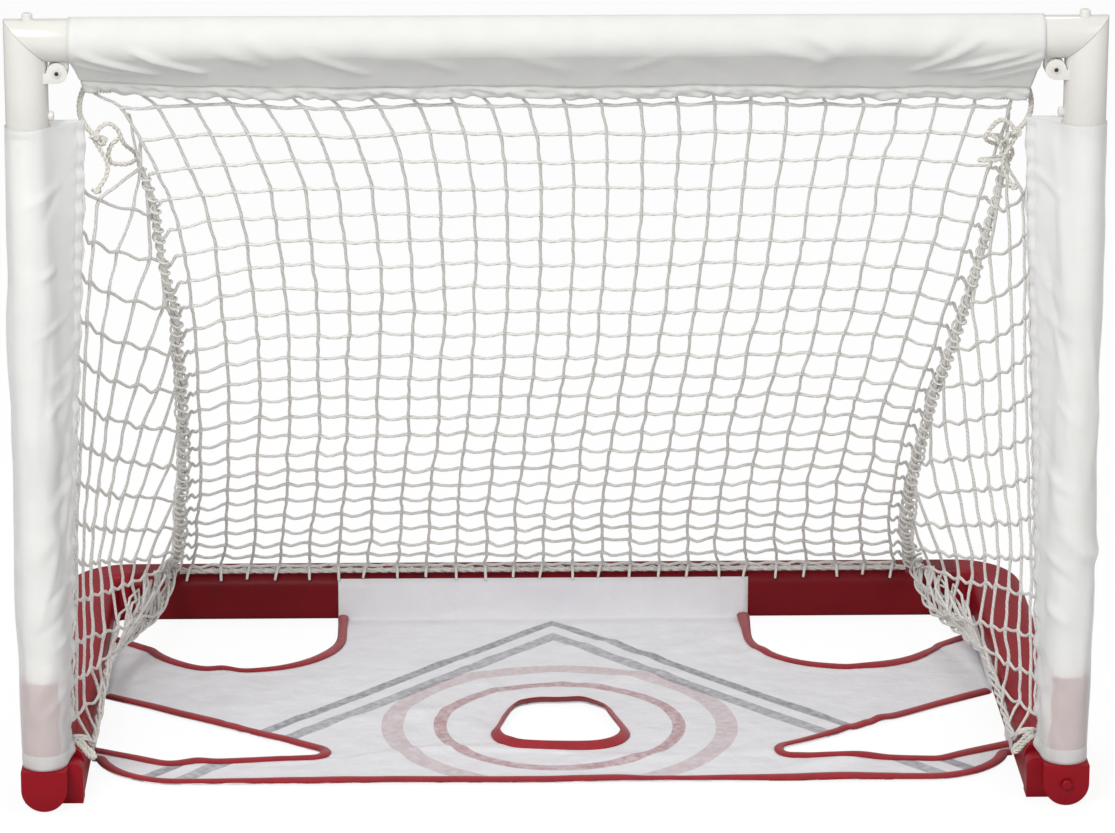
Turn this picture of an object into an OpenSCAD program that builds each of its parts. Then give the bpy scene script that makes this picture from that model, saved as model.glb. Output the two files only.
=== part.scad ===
// Small hockey goal: folding tube frame, moulded U-shaped base, draped cord net and a floor target.
// X runs along the crossbar, Y towards the back bar, Z up. The goal stands on Z = 0 with its
// width and depth, its proud button included, centred on the origin. Everything is in millimetres.

/* [Goal] */
// Overall width across the elbows
goal_w = 914; // [760:2:1300]
// Overall height to the top of the elbows
goal_h = 690; // [600:2:1000]
// Overall depth from the feet to the back bar
goal_d = 550; // [480:2:760]

/* [Tubes] */
// Outer diameter of the crossbar and post tubes
tube_d = 31; // [29:0.5:33]
// Wall of the crossbar and post tubes
tube_wall = 2; // [1.5:0.25:2.5]
// Radial gap between a tube and its socket
fit_gap = 0.2; // [0.15:0.05:0.4]

/* [Elbows] */
// Wall of an elbow round its tube
elbow_wall = 2.3; // [2:0.1:3]
// Length of the elbow's crossbar leg, from the goal's outer side
bar_leg = 66; // [62:1:80]
// Length of the elbow's post leg, from the goal's top
post_leg = 96; // [94:1:110]
// Distance of the hinge pin in from the outer side and down from the top
pin_inset = 44; // [44:0.5:47]
// Diameter of the hinge pin
pin_d = 4; // [3:0.5:5]
// Running gap round the hinge pin
pin_gap = 0.1; // [0.05:0.05:0.2]
// Radius of the hinge lugs
lug_r = 8.6; // [7.5:0.1:8.8]
// Thickness of each outer hinge lug
lug_w = 4; // [3:0.5:5]
// Thickness of the middle hinge lug
knuckle_w = 12; // [10:0.5:14]
// Gap between the lugs, and across the mitre
lug_gap = 0.4; // [0.3:0.1:0.8]
// Thickness of the mitred end walls
mitre_wall = 3; // [2.5:0.5:3.5]
// Reach of the shoulder that stops a tube, inside the elbow
shoulder = 1.7; // [1:0.1:2.5]
// Reach of the outer lugs' webs, out from the hinge pin
lug_web = 14; // [10:1:18]

/* [Buttons] */
// Diameter of a snap button
snap_d = 8.6; // [7:0.2:10]
// How far a snap button stands proud
snap_proud = 4; // [3:0.5:5]
// Distance of the elbow's snap button below the goal's top
snap_drop = 82; // [80:1:86]
// Height of the foot's snap button above the floor
foot_snap_z = 19.5; // [19:0.5:22]
// Diameter of the latch button on top of the elbow
latch_d = 9; // [8:0.2:9.6]
// How far the latch button stands proud
latch_proud = 5; // [4:0.5:6]
// Distance of the latch button in from the outer side
latch_inset = 20; // [19.5:0.5:21]
// Radial gap round every button
button_gap = 0.2; // [0.15:0.05:0.4]
// Thickness of the spring strip behind a snap button
strip_t = 0.8; // [0.5:0.1:1]
// Wire diameter of the latch spring
latch_wire = 0.5; // [0.4:0.1:0.6]

/* [Base] */
// Width of the base rails and back bar
rail_w = 50; // [44:1:60]
// Height of the base rails and back bar
rail_h = 44; // [40:1:56]
// Wall of the base rails and back bar
rail_wall = 3; // [2.5:0.5:4]
// Radius of the rails' upper edges
rail_round = 13; // [8:1:16]
// Radius of the rails' lower edges
rail_low_round = 4; // [2:1:8]
// Radius of the base's back corners, along the rails' middle
corner_r = 36; // [32:1:60]
// Length of the spigots inside the rails
spigot = 32; // [20:1:50]
// Gap round a spigot, and between a foot and its rail
seat_gap = 0.3; // [0.2:0.1:0.6]
// Width of a foot's round-ended front
foot_w = 39; // [37:0.5:42]
// Height of the foot's body below the sleeve
foot_h = 36; // [34:1:44]
// Height of the foot's socket
socket_h = 114; // [80:2:160]
// Thickness of the foot under its tube
foot_floor = 11; // [10:1:14]
// Radius of the upper edges of a foot's heel
heel_round = 8; // [4:1:12]
// Length of the plugs in the rails' front ends
plug_l = 20; // [12:1:40]

/* [Sleeves] */
// Thickness of the sleeve cloth
cloth_t = 1.2; // [0.8:0.1:1.4]
// Thickness of the doubled cloth in the net flaps
flap_t = 1.5; // [1:0.1:1.6]
// Distance of the crossbar sleeve's ends in from the goal's outer side
bar_sleeve_inset = 54; // [54:1:60]
// Distance of the post sleeve's top below the goal's top
post_sleeve_drop = 90; // [90:1:92]
// Gap between the post sleeve's lower hem and the foot
sleeve_foot_gap = 0.5; // [0.3:0.1:8]
// Drop of the crossbar flap's hem below the goal's top
bar_flap_drop = 73; // [70:1:80]
// Reach of the post flap's upper end in from the outer side
post_flap_top = 64; // [56:1:66]
// Reach of the post flap's lower end in from the outer side
post_flap_low = 44; // [42:1:50]
// Gap between the post flap's lower end and the rail's top
flap_rail_gap = 3; // [2:0.5:6]

/* [Net] */
// Width of a net cord
cord_w = 3; // [2:0.25:4]
// Thickness of a net cord
cord_t = 2.6; // [2:0.2:3.5]
// Meshes across the back of the net
back_cols = 12; // [8:1:12]
// Meshes down the net
net_rows = 12; // [8:4:12]
// Meshes along each side of the net
side_cols = 5; // [3:1:5]
// Distance of the net's upper corners in from the goal's outer side
net_top_inset = 66; // [64:1:90]
// Distance of the net's lower corners in from the goal's outer side
net_low_inset = 104; // [97:1:140]
// How far each seam bows inward on its way down
seam_waist = 27; // [0:1:40]
// Angle that the back of the net turns through as it sags
net_turn = 25; // [5:1:35]
// Diameter of the laced seams
seam_d = 8; // [6:0.5:12]
// Diameter of the cord along the net's lower edge
hem_cord_d = 5; // [4:0.5:7]
// Height of the side net's lower front corner
side_net_z = 32; // [28:1:40]
// How far the side net's lower edge bulges towards the rail
side_bulge = 14; // [0:1:14]
// Distance of the net's lower edge behind the back bar's front
hem_setback = 8; // [6:1:14]

/* [Target] */
// Thickness of the target cloth
target_t = 1.2; // [0.8:0.1:2]
// Width of the binding tape round the target
binding_w = 10; // [6:1:14]
// Thickness of the binding tape
binding_t = 2.4; // [1.8:0.2:3]
// Half width of the target at the back bar
target_back_half = 196; // [150:1:240]
// Distance of the target's front edge behind the feet
target_front = 60; // [50:1:90]
// Width of the hole in the target
hole_w = 106; // [80:1:130]
// Depth of the hole in the target
hole_l = 110; // [80:1:130]
// Distance of the hole's middle behind the feet
hole_y = 200; // [180:1:230]
// Distance of the hole's middle to the right of the goal's
hole_x = 8; // [0:1:20]
// Radius of the hole's corners
hole_r = 30; // [20:1:36]
// How much each side of the hole leans in towards the back
hole_taper = 12; // [0:1:20]
// Radius of the target's front corners
target_front_r = 78; // [60:1:90]
// Distance behind the feet where the front band meets the rail
band_side = 118; // [110:1:130]
// Distance behind the feet of the front band's back edge, at the rail
band_back = 176; // [160:1:190]
// Distance behind the feet of a side wing's front edge, at the rail
wing_front = 279; // [260:1:300]
// Distance of a side wing's back edge in front of the target's back edge
wing_back = 52; // [40:1:70]
// Radius of the openings beside the back bar
back_opening_r = 88; // [60:1:100]
// Length of the slanted edge of a side wing, from front to back
wing_slant = 50; // [30:1:70]
// Width of a back opening's flat edge, out from its rounded corner
wing_flat = 70; // [40:1:90]
// Half distance between the tips of the side openings
tip_half = 214; // [200:1:240]
// Distance behind the feet of a side opening's tip
tip_y = 132; // [120:1:150]
// Radius of a side opening's tip
tip_r = 9; // [6:1:14]
// Distance of a side opening's front corner in from the target's side
belly_in = 69; // [50:1:90]
// Distance behind the feet of a side opening's front corner
belly_y = 130; // [120:1:150]
// Radius of a side opening's front corner
belly_r = 18; // [10:1:24]
// Height of the tabs that hold the target to the rails
tab_h = 20; // [12:1:28]
// Distance of a tab's ends in from the cloth's edges
tab_inset = 4; // [2:1:10]

/* [Hidden] */
$fn = 64;
eps = 0.01;
big = 400;

white_plastic = "#E8E7E0";
white_cloth = "#F4F4F2";
net_white = "#DCDAD4";
red_plastic = "#A01428";
red_tape = "#A80C22";
steel = "#B8BABC";
white_rope = "#E4E2DA";

// Frame: radii of the tubes and of what fits round them.
tube_r = tube_d / 2;
socket_r = tube_r + fit_gap;
elbow_r = socket_r + elbow_wall;
post_x = goal_w / 2 - elbow_r;
front_y = (snap_proud - goal_d) / 2;
back_y = (snap_proud + goal_d) / 2;
bar_z = goal_h - elbow_r;
pin_off = pin_inset - elbow_r;
pin_x = goal_w / 2 - pin_inset;
pin_z = goal_h - pin_inset;
lug_in = knuckle_w / 2 + lug_gap;
foot_reach = foot_w / 2 + 0.5;
post_y = front_y + foot_reach;

// Snap buttons: a flange bears on the tube's inner wall.
snap_rim = 1.2;
snap_flange_t = 1.5;
strip_len = 34;
flange_r0 = sqrt(pow(tube_r - tube_wall, 2) - pow(snap_d / 2 + snap_rim, 2)) - 0.3 - snap_flange_t;

// Sleeves and flaps lie in layers behind the posts, so that the posts fold past the crossbar.
sleeve_r0 = elbow_r + 0.3;
sleeve_r1 = sleeve_r0 + cloth_t;
layer_gap = 0.4;
post_flap_y = sleeve_r1 + layer_gap;
bar_flap_y = post_flap_y + flap_t + layer_gap;
post_sleeve_z = foot_h + sleeve_foot_gap;
net_y = bar_flap_y + flap_t + layer_gap;

// Base: the rails start behind the feet, and the corners turn into the back bar.
rail_x = goal_w / 2 - rail_w / 2;
rail_y0 = post_y + foot_w / 2 + 2 * seat_gap;
rail_y1 = back_y - rail_w / 2 - corner_r;
bar_y = back_y - rail_w / 2;
bar_x = rail_x - corner_r;
rail_inner = goal_w / 2 - rail_w;
bar_inner = back_y - rail_w;

// Net: a circular arc seen from the side, from the crossbar flap to the back bar.
net_top_half = goal_w / 2 - net_top_inset;
net_low_half = goal_w / 2 - net_low_inset;
net_top = [post_y + net_y + cord_t / 2 + 1.2, goal_h - bar_flap_drop + cord_w];
net_low = [bar_inner + hem_setback, rail_h + hem_cord_d + cord_w];
chord = net_low - net_top;
arc_r = norm(chord) / (2 * sin(net_turn / 2));
arc_mid = atan2(chord[0], -chord[1]);
seam_gap = 0.2;
seam_clear = seam_d / 2 + seam_gap + cord_w / 2;

function lerp(a, b, t) = a + (b - a) * t;
function unit(v) = v / norm(v);

// Angle from straight down of the net's profile, a share t of the way down.
function arc_dir(t) = arc_mid + net_turn * (t - 0.5);
function net_profile(t) = net_top + arc_r * [
    cos(arc_dir(0)) - cos(arc_dir(t)),
    -(sin(arc_dir(t)) - sin(arc_dir(0)))
];
function net_half(t) = lerp(net_top_half, net_low_half, t) - 4 * seam_waist * t * (1 - t);
// Middle of the left seam, a share t of the way down.
function seam(t) = let (p = net_profile(t)) [-net_half(t), p[0], p[1]];

// Direction of the left seam.
function seam_dir(t) = unit(seam(t + 0.001) - seam(t - 0.001));

function back_point(u, v) = let (
    t = v / net_rows,
    p = net_profile(t),
    half = net_half(t) - seam_clear
) [half * (2 * u / back_cols - 1), p[0], p[1]];

// The side net's rows run down towards the seam, and its lower edge bulges towards the rail.
function side_seam(t) = 0.12 + 0.88 * t + 0.2 * t * (1 - t);
function side_front(t) = [
    -lerp(net_top_half, rail_inner - 7, t),
    post_y + net_y + cord_t,
    lerp(goal_h - bar_flap_drop - 30, side_net_z, t)
];
function side_point(u, v) = let (
    t = v / net_rows,
    s = u / side_cols,
    a = side_front(t),
    b = seam(side_seam(t)),
    skew = norm(cross(unit(a - b), seam_dir(side_seam(t)))),
    b_clear = b + unit(a - b) * seam_clear / skew
) lerp(a, b_clear, s) - [4 * side_bulge * s * (1 - s) * t * t, 0, 0];

// One panel of square meshes over a curved surface, as a closed solid.
// Rows row0 to row1 are made, and open_top and open_low say which edges end in mid cord.
module mesh_panel(point, cols, row0, row1, open_top, open_low) {
    rows = row1 - row0;
    du = 0.01;
    normal = function (u, v) unit(cross(
        point(u + du, v) - point(u - du, v),
        point(u, v + du) - point(u, v - du)));
    pitch_u = function (u, v) norm(point(u + du, v) - point(u - du, v)) / (2 * du);
    pitch_v = function (u, v) norm(point(u, v + du) - point(u, v - du)) / (2 * du);
    half_u = function (u, v) min(0.35, cord_w / 2 / pitch_u(u, v));
    half_v = function (u, v) min(0.35, cord_w / 2 / pitch_v(u, v));
    split_v = function (u, v) 0.2 / pitch_v(u, v);
    rim_v = function (j) j == 0 ? (open_top ? -1 : 1) : j == rows ? (open_low ? 1 : -1) : 0;
    place = function (u, v, side) point(u, v) + normal(u, v) * side * cord_t / 2;
    grid = function (i, j, side) let (
        u = i,
        v = row0 + j,
        eu = i == 0 ? -half_u(u, v) : i == cols ? half_u(u, v) : 0,
        ev = rim_v(j) == 0 ? 0 :
            (j == 0 && !open_top) ? -half_v(u, v) :
            (j == rows && !open_low) ? half_v(u, v) :
            (j == 0 ? 1 : -1) * split_v(u, v)
    ) place(u + eu, v + ev, side);
    hole = function (i, j, k, side) let (
        a = (k == 0 || k == 3) ? 0 : 1,
        b = k < 2 ? 0 : 1,
        u = i + a,
        v = row0 + j + b
    ) place(u + (a == 0 ? 1 : -1) * half_u(u, v), v + (b == 0 ? 1 : -1) * half_v(u, v), side);
    grid_count = (cols + 1) * (rows + 1);
    hole_count = 4 * cols * rows;
    layer = grid_count + hole_count;
    points = [
        for (side = [-1, 1]) each concat(
            [for (j = [0:rows]) for (i = [0:cols]) grid(i, j, side)],
            [for (j = [0:rows - 1]) for (i = [0:cols - 1]) for (k = [0:3]) hole(i, j, k, side)])
    ];
    g = function (i, j, s) s * layer + j * (cols + 1) + i;
    h = function (i, j, k, s) s * layer + grid_count + 4 * (j * cols + i) + k;
    quad = function (a, b, c, d, flip) flip ?
        [[a, c, b], [a, d, c]] : [[a, b, c], [a, c, d]];
    corner = function (i, j, k, s) g(i + ((k == 0 || k == 3) ? 0 : 1), j + (k < 2 ? 0 : 1), s);
    faces = concat(
        [for (s = [0, 1]) for (j = [0:rows - 1]) for (i = [0:cols - 1]) for (k = [0:3])
            each quad(corner(i, j, k, s), corner(i, j, (k + 1) % 4, s),
                h(i, j, (k + 1) % 4, s), h(i, j, k, s), s == 1)],
        [for (j = [0:rows - 1]) for (i = [0:cols - 1]) for (k = [0:3])
            each quad(h(i, j, k, 0), h(i, j, (k + 1) % 4, 0),
                h(i, j, (k + 1) % 4, 1), h(i, j, k, 1), false)],
        [for (i = [0:cols - 1]) each concat(
            quad(g(i, 0, 0), g(i, 0, 1), g(i + 1, 0, 1), g(i + 1, 0, 0), false),
            quad(g(i, rows, 0), g(i + 1, rows, 0), g(i + 1, rows, 1), g(i, rows, 1), false))],
        [for (j = [0:rows - 1]) each concat(
            quad(g(0, j, 0), g(0, j + 1, 0), g(0, j + 1, 1), g(0, j, 1), false),
            quad(g(cols, j, 0), g(cols, j, 1), g(cols, j + 1, 1), g(cols, j + 1, 0), false))]
    );
    polyhedron(points, faces);
}

// A net panel as bands of whole rows, one below the other.
module banded_panel(point, cols, bands) {
    step = net_rows / bands;
    for (b = [0:bands - 1])
        mesh_panel(point, cols, b * step, (b + 1) * step, b > 0, b < bands - 1);
}

// A round cord along a function of t, from t = 0 to 1; no stretch of it runs along the axis given.
module swept_cord(path, d, rings, sides, axis) {
    dt = 0.001;
    points = [
        for (n = [0:rings]) let (
            t = n / rings,
            p = path(t),
            along = unit(path(t + dt) - path(t - dt)),
            across = unit(cross(axis, along)),
            third = cross(along, across)
        ) for (k = [0:sides - 1])
            p + d / 2 * (cos(360 * k / sides) * across + sin(360 * k / sides) * third)
    ];
    walls = [
        for (n = [0:rings - 1]) for (k = [0:sides - 1]) let (
            a = n * sides + k,
            b = n * sides + (k + 1) % sides
        ) each [[a, b + sides, b], [a, a + sides, b + sides]]
    ];
    last = rings * sides;
    ends = [for (k = [1:sides - 2]) each [[0, k, k + 1], [last, last + k + 1, last + k]]];
    polyhedron(points, concat(walls, ends));
}

// Puts a left-hand piece on its side: -1 leaves it, 1 mirrors it to the right.
module on_side(side) {
    if (side < 0) children();
    else mirror([1, 0, 0]) children();
}

// Left elbow frame: origin on the hinge pin, X towards the goal's middle, Z up.
module at_left_pin() {
    translate([-pin_x, post_y, pin_z]) children();
}

// Everything above the mitre plane by more than d, in the elbow frame.
module above_mitre(d) {
    rotate([0, 45, 0]) translate([-big / 2, -big / 2, d]) cube(big);
}

// A bar along X in the elbow frame, from x0 to x1 on the crossbar's axis.
module bar_round(r, x0, x1) {
    translate([x0, 0, pin_off]) rotate([0, 90, 0]) cylinder(r = r, h = x1 - x0);
}

module pin_round(r, w) {
    rotate([90, 0, 0]) cylinder(r = r, h = w, center = true);
}

latch_x = pin_inset - latch_inset;
latch_top = pin_inset + latch_proud;
latch_coil_r = latch_d / 2 - 0.8;
latch_seat = latch_x + latch_coil_r + latch_wire + mitre_wall * sqrt(2);
cavity_r = socket_r - shoulder;
flange_top = pin_off + sqrt(cavity_r * cavity_r - 36) - 0.4;
flange_t = 1.8;
flange_rim = 0.8;
tube_stop = -4;

// Crossbar half of the left elbow: mitred leg, middle hinge lug and the latch button's seat.
module elbow_bar_half() {
    web_x = bar_sleeve_inset - pin_inset - 1;
    web_top = pin_off - elbow_r + shoulder;
    color(white_plastic) difference() {
        union() {
            intersection() {
                bar_round(elbow_r, -pin_inset, bar_leg - pin_inset);
                above_mitre(lug_gap / 2);
            }
            pin_round(lug_r, knuckle_w);
            rotate([90, 0, 0]) linear_extrude(knuckle_w, center = true)
                polygon([[0, 0], [web_x - 3, 0], [web_x, 3], [web_x, web_top], [0, web_top]]);
        }
        difference() {
            intersection() {
                bar_round(cavity_r, -pin_inset, tube_stop + eps);
                above_mitre(mitre_wall);
            }
            translate([-latch_x, 0, 0]) cylinder(d = latch_d + 2, h = latch_seat);
        }
        bar_round(socket_r, tube_stop, bar_leg);
        translate([-latch_x, 0, latch_seat]) cylinder(d = latch_d + 2 * button_gap, h = big);
        pin_round(pin_d / 2 + pin_gap, big);
    }
}

// Post half of the left elbow: mitred leg and the two outer hinge lugs.
module elbow_post_half() {
    leg_low = pin_inset - post_leg;
    color(white_plastic) difference() {
        union() {
            difference() {
                translate([-pin_off, 0, leg_low]) cylinder(r = elbow_r, h = post_leg);
                above_mitre(-lug_gap / 2);
                pin_round(lug_r + lug_gap, knuckle_w + 2 * lug_gap);
            }
            for (s = [-1, 1]) translate([0, s * (lug_in + lug_w / 2), 0]) {
                pin_round(lug_r, lug_w);
                translate([-lug_web, -lug_w / 2, -lug_r]) cube([lug_web, lug_w, lug_r]);
            }
        }
        difference() {
            translate([-pin_off, 0, -tube_stop - eps]) cylinder(r = cavity_r, h = post_leg);
            above_mitre(-mitre_wall);
        }
        translate([-pin_off, 0, leg_low - eps])
            cylinder(r = socket_r, h = -tube_stop - leg_low + eps);
        translate([-pin_off, 0, pin_inset - snap_drop]) rotate([0, 90, 0])
            cylinder(d = snap_d + 2 * button_gap, h = big);
        pin_round(pin_d / 2 + pin_gap, big);
    }
}

// Hinge pin with a low round head at each end.
module elbow_hinge_pin() {
    reach = lug_in + lug_w + lug_gap;
    color(steel) {
        pin_round(pin_d / 2, 2 * reach);
        for (s = [-1, 1]) translate([0, s * (reach + 0.5), 0]) pin_round(pin_d / 2 + 1, 1);
    }
}

module latch_button() {
    color(white_plastic) translate([-latch_x, 0, 0]) {
        translate([0, 0, flange_top - flange_t])
            cylinder(d = latch_d, h = latch_top - 1 - flange_top + flange_t);
        translate([0, 0, flange_top - flange_t]) cylinder(d = latch_d + 2 * flange_rim, h = flange_t);
        translate([0, 0, latch_top - 1]) cylinder(d1 = latch_d, d2 = latch_d - 2, h = 1);
    }
}

// Compression spring under the latch button, wound from its seat to the button.
module latch_spring() {
    low = latch_seat + latch_wire / 2 + 0.1;
    high = flange_top - flange_t - latch_wire / 2 - 0.1;
    turns = 2.5;
    path = function (t) [
        -latch_x + latch_coil_r * cos(360 * turns * t),
        latch_coil_r * sin(360 * turns * t),
        lerp(low, high, t)
    ];
    color(steel) swept_cord(path, latch_wire, 12 * turns, 6, [0, 0, 1]);
}

module crossbar_tube() {
    half = pin_x - tube_stop - fit_gap;
    color(white_plastic) translate([-half, post_y, bar_z]) rotate([0, 90, 0]) difference() {
        cylinder(r = tube_r, h = 2 * half);
        translate([0, 0, -1]) cylinder(r = tube_r - tube_wall, h = 2 * half + 2);
    }
}

module crossbar_sleeve() {
    half = goal_w / 2 - bar_sleeve_inset;
    color(white_cloth) translate([-half, post_y, bar_z]) rotate([0, 90, 0]) difference() {
        cylinder(r = sleeve_r1, h = 2 * half);
        translate([0, 0, -1]) cylinder(r = sleeve_r0, h = 2 * half + 2);
    }
}

// Flap that carries the net: sewn to the sleeve's back and hanging behind the crossbar.
module crossbar_net_flap() {
    half = net_top_half + 2;
    hem_z = goal_h - bar_flap_drop;
    sewn_z = pin_z + post_flap_top - pin_inset + 2;
    color(white_cloth) translate([-half, post_y, 0]) rotate([90, 0, 90]) linear_extrude(2 * half)
        polygon([
            [bar_flap_y, hem_z],
            [bar_flap_y + flap_t, hem_z],
            [bar_flap_y + flap_t, bar_z + 8],
            [post_flap_y, bar_z + 8],
            [post_flap_y, sewn_z],
            [bar_flap_y, sewn_z]
        ]);
}

module at_left_post() {
    translate([-post_x, post_y, 0]) children();
}

// Post tube, with holes for the elbow's snap button and, on one side, the foot's.
module post_tube(foot_hole) {
    low = foot_floor + fit_gap;
    high = pin_z - tube_stop - fit_gap;
    color(white_plastic) difference() {
        translate([0, 0, low]) cylinder(r = tube_r, h = high - low);
        translate([0, 0, low - 1]) cylinder(r = tube_r - tube_wall, h = high - low + 2);
        translate([0, 0, goal_h - snap_drop]) rotate([0, 90, 0])
            cylinder(d = snap_d + 2 * button_gap, h = big);
        if (foot_hole) translate([0, 0, foot_snap_z]) rotate([90, 0, 0])
            cylinder(d = snap_d + 2 * button_gap, h = big);
    }
}

module post_sleeve() {
    high = goal_h - post_sleeve_drop;
    color(white_cloth) difference() {
        translate([0, 0, post_sleeve_z]) cylinder(r = sleeve_r1, h = high - post_sleeve_z);
        translate([0, 0, post_sleeve_z - 1]) cylinder(r = sleeve_r0, h = high - post_sleeve_z + 2);
    }
}

// Flap behind the post whose inner edge the side net is sewn to, drawn in towards the floor.
module post_net_flap() {
    high = goal_h - post_sleeve_drop;
    low = rail_h + flap_rail_gap;
    top_x = post_flap_top - elbow_r;
    low_x = post_flap_low - elbow_r;
    folds = 16;
    edge = [for (n = [0:folds]) let (t = n / folds)
        [lerp(low_x, top_x, sin(90 * t)) + (n % 2 == 0 ? 0 : 1.2), lerp(low, high - 4, t)]];
    color(white_cloth) translate([0, post_flap_y + flap_t, 0]) rotate([90, 0, 0])
        linear_extrude(flap_t) polygon(concat([[-7, high - 4], [-7, low]], edge));
}

// Foot: round-ended front, wider heel against the rail, and the socket for the post tube.
module post_foot(button_hole) {
    heel_out = goal_w / 2 - post_x;
    heel_y = foot_w / 2;
    color(red_plastic) difference() {
        union() {
            rotate([90, 0, 0]) linear_extrude(foot_reach) {
                intersection() {
                    translate([0, foot_w / 2]) circle(d = foot_w);
                    translate([-foot_w / 2, 0]) square([foot_w, foot_h]);
                }
                translate([-foot_w / 2, foot_w / 2]) square([foot_w, foot_h - foot_w / 2]);
            }
            rotate([-90, 0, 0]) linear_extrude(heel_y) heel_section(-heel_out, rail_w, foot_h);
            translate([0, 0, foot_w / 2]) cylinder(r = elbow_r, h = socket_h - foot_w / 2);
        }
        translate([0, 0, foot_floor]) cylinder(r = socket_r, h = socket_h);
        if (button_hole) translate([0, 0, foot_snap_z]) rotate([90, 0, 0])
            cylinder(d = snap_d + 2 * button_gap, h = big);
    }
}

// Cross-section of the heel, drawn downward because its extrusion is turned over.
module heel_section(x0, w, h) {
    r = heel_round;
    translate([x0, -h + r]) square([w, h - r]);
    translate([x0 + r, -h]) square([w - 2 * r, r + eps]);
    for (x = [x0 + r, x0 + w - r]) translate([x, -h + r]) circle(r = r);
}

// Snap button in its tube, with the end of its spring strip: Z points outward from the tube's
// axis, and the strip runs along X.
module snap_button(outer_r) {
    color(steel) {
        translate([0, 0, flange_r0]) cylinder(d = snap_d, h = outer_r + snap_proud - 1 - flange_r0);
        translate([0, 0, outer_r + snap_proud - 1]) cylinder(d1 = snap_d, d2 = snap_d - 2, h = 1);
        translate([0, 0, flange_r0]) cylinder(d = snap_d + 2 * snap_rim, h = snap_flange_t);
        translate([-snap_d / 2, -snap_d / 2, flange_r0 - strip_t])
            cube([snap_d / 2 + strip_len, snap_d, strip_t + eps]);
    }
}

// The rest of the snap button's spring: a strip bent back along the tube's far wall.
module snap_spring() {
    near = flange_r0 - strip_t;
    far = seat_gap - sqrt(pow(tube_r - tube_wall, 2) - pow(snap_d / 2, 2));
    bend = (near + strip_t - far) / 2;
    bend_x = strip_len + 8;
    color(steel) {
        translate([strip_len + seat_gap, -snap_d / 2, near])
            cube([bend_x - strip_len - seat_gap, snap_d, strip_t]);
        translate([-snap_d / 2, -snap_d / 2, far]) cube([bend_x + snap_d / 2, snap_d, strip_t]);
        translate([bend_x, 0, far + bend]) rotate([90, 0, 0]) rotate([0, 0, -90])
            translate([0, 0, -snap_d / 2]) rotate_extrude(angle = 180)
                translate([bend - strip_t, 0]) square([strip_t, snap_d]);
    }
}

module elbow_snap_place() {
    translate([0, 0, goal_h - snap_drop]) rotate([0, 90, 0]) children();
}

module foot_snap_place() {
    translate([0, 0, foot_snap_z]) rotate([90, 0, 0]) rotate([0, 0, 90]) children();
}

// Cross-section of the base's rails: flat foot, upright sides and well-rounded upper edges.
module rail_section(inset) {
    w = rail_w - 2 * inset;
    r = max(2, rail_round - inset);
    top = rail_h - inset;
    low_r = max(1, rail_low_round - inset);
    translate([-w / 2, inset + low_r]) square([w, top - r - inset - low_r]);
    translate([-w / 2 + r, inset + low_r]) square([w - 2 * r, top - inset - low_r]);
    translate([-w / 2 + low_r, inset]) square([w - 2 * low_r, low_r + eps]);
    for (s = [-1, 1]) {
        translate([s * (w / 2 - r), top - r]) circle(r = r);
        translate([s * (w / 2 - low_r), inset + low_r]) circle(r = low_r);
    }
}

module rail_tube_section() {
    difference() {
        rail_section(0);
        rail_section(rail_wall);
    }
}

module base_rail() {
    color(red_plastic) translate([-rail_x, rail_y1, 0]) rotate([90, 0, 0])
        linear_extrude(rail_y1 - rail_y0) rail_tube_section();
}

module base_back_bar() {
    color(red_plastic) translate([-bar_x, bar_y, 0]) rotate([90, 0, 90])
        linear_extrude(2 * bar_x) rail_tube_section();
}

// Back corner: a quarter bend with a spigot into the rail and one into the back bar.
module base_corner() {
    color(red_plastic) translate([-bar_x, rail_y1, 0]) {
        rotate([0, 0, 90]) rotate_extrude(angle = 90) translate([corner_r, 0]) rail_section(0);
        translate([-corner_r, eps, 0]) rotate([90, 0, 0])
            linear_extrude(spigot) rail_section(rail_wall + seat_gap);
        translate([-eps, corner_r, 0]) rotate([90, 0, 90])
            linear_extrude(spigot) rail_section(rail_wall + seat_gap);
    }
}

// Plug that closes the rail's front end behind the foot.
module rail_end_plug() {
    color(red_plastic) translate([-rail_x, rail_y0 + plug_l, 0]) rotate([90, 0, 0])
        linear_extrude(plug_l + seat_gap) rail_section(rail_wall + seat_gap);
}

// Target: a panel with side wings, cut by two openings a side and a hole. Its outline runs on
// past the rails and the back bar, and is clipped there. The front band lies between band_side_y
// and band_back_y, and the wings between wing_front_y and wing_back_y.
tab_t = 1.2;
cloth_side = rail_inner - 2 * seat_gap - tab_t - 0.4;
cloth_front = front_y + target_front;
cloth_back = bar_inner - 1.5;
wing_back_y = cloth_back - wing_back;
wing_front_y = front_y + wing_front;
band_back_y = front_y + band_back;
band_side_y = front_y + band_side;

module target_blank() {
    front_r = target_front_r;
    past = rail_w;
    difference() {
        union() {
            translate([-cloth_side - past, cloth_front + front_r])
                square([2 * (cloth_side + past), cloth_back + past - cloth_front - front_r]);
            translate([-cloth_side + front_r, cloth_front])
                square([2 * (cloth_side - front_r), front_r + 1]);
            for (s = [-1, 1]) translate([s * (cloth_side - front_r), cloth_front + front_r])
                circle(r = front_r);
        }
        for (m = [0, 1]) mirror([m, 0]) {
            upper_opening();
            lower_opening();
        }
        for (m = [0, 1]) mirror([m, 0]) translate([cloth_side - 1, front_y])
            square([past + 2, band_side_y - front_y]);
    }
}

// Opening between a side wing and the back bar.
module upper_opening() {
    r = back_opening_r;
    side = rail_inner - target_back_half - r;
    middle_y = wing_back_y - wing_slant + r / 2;
    translate([target_back_half + r, middle_y]) circle(r = r);
    translate([target_back_half, middle_y]) square([2 * r, big]);
    translate([target_back_half + r, wing_back_y - wing_slant]) polygon([
        [0, 0], [wing_flat, 0], [side, wing_slant], [big, wing_slant], [big, big], [0, big]
    ]);
}

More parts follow.
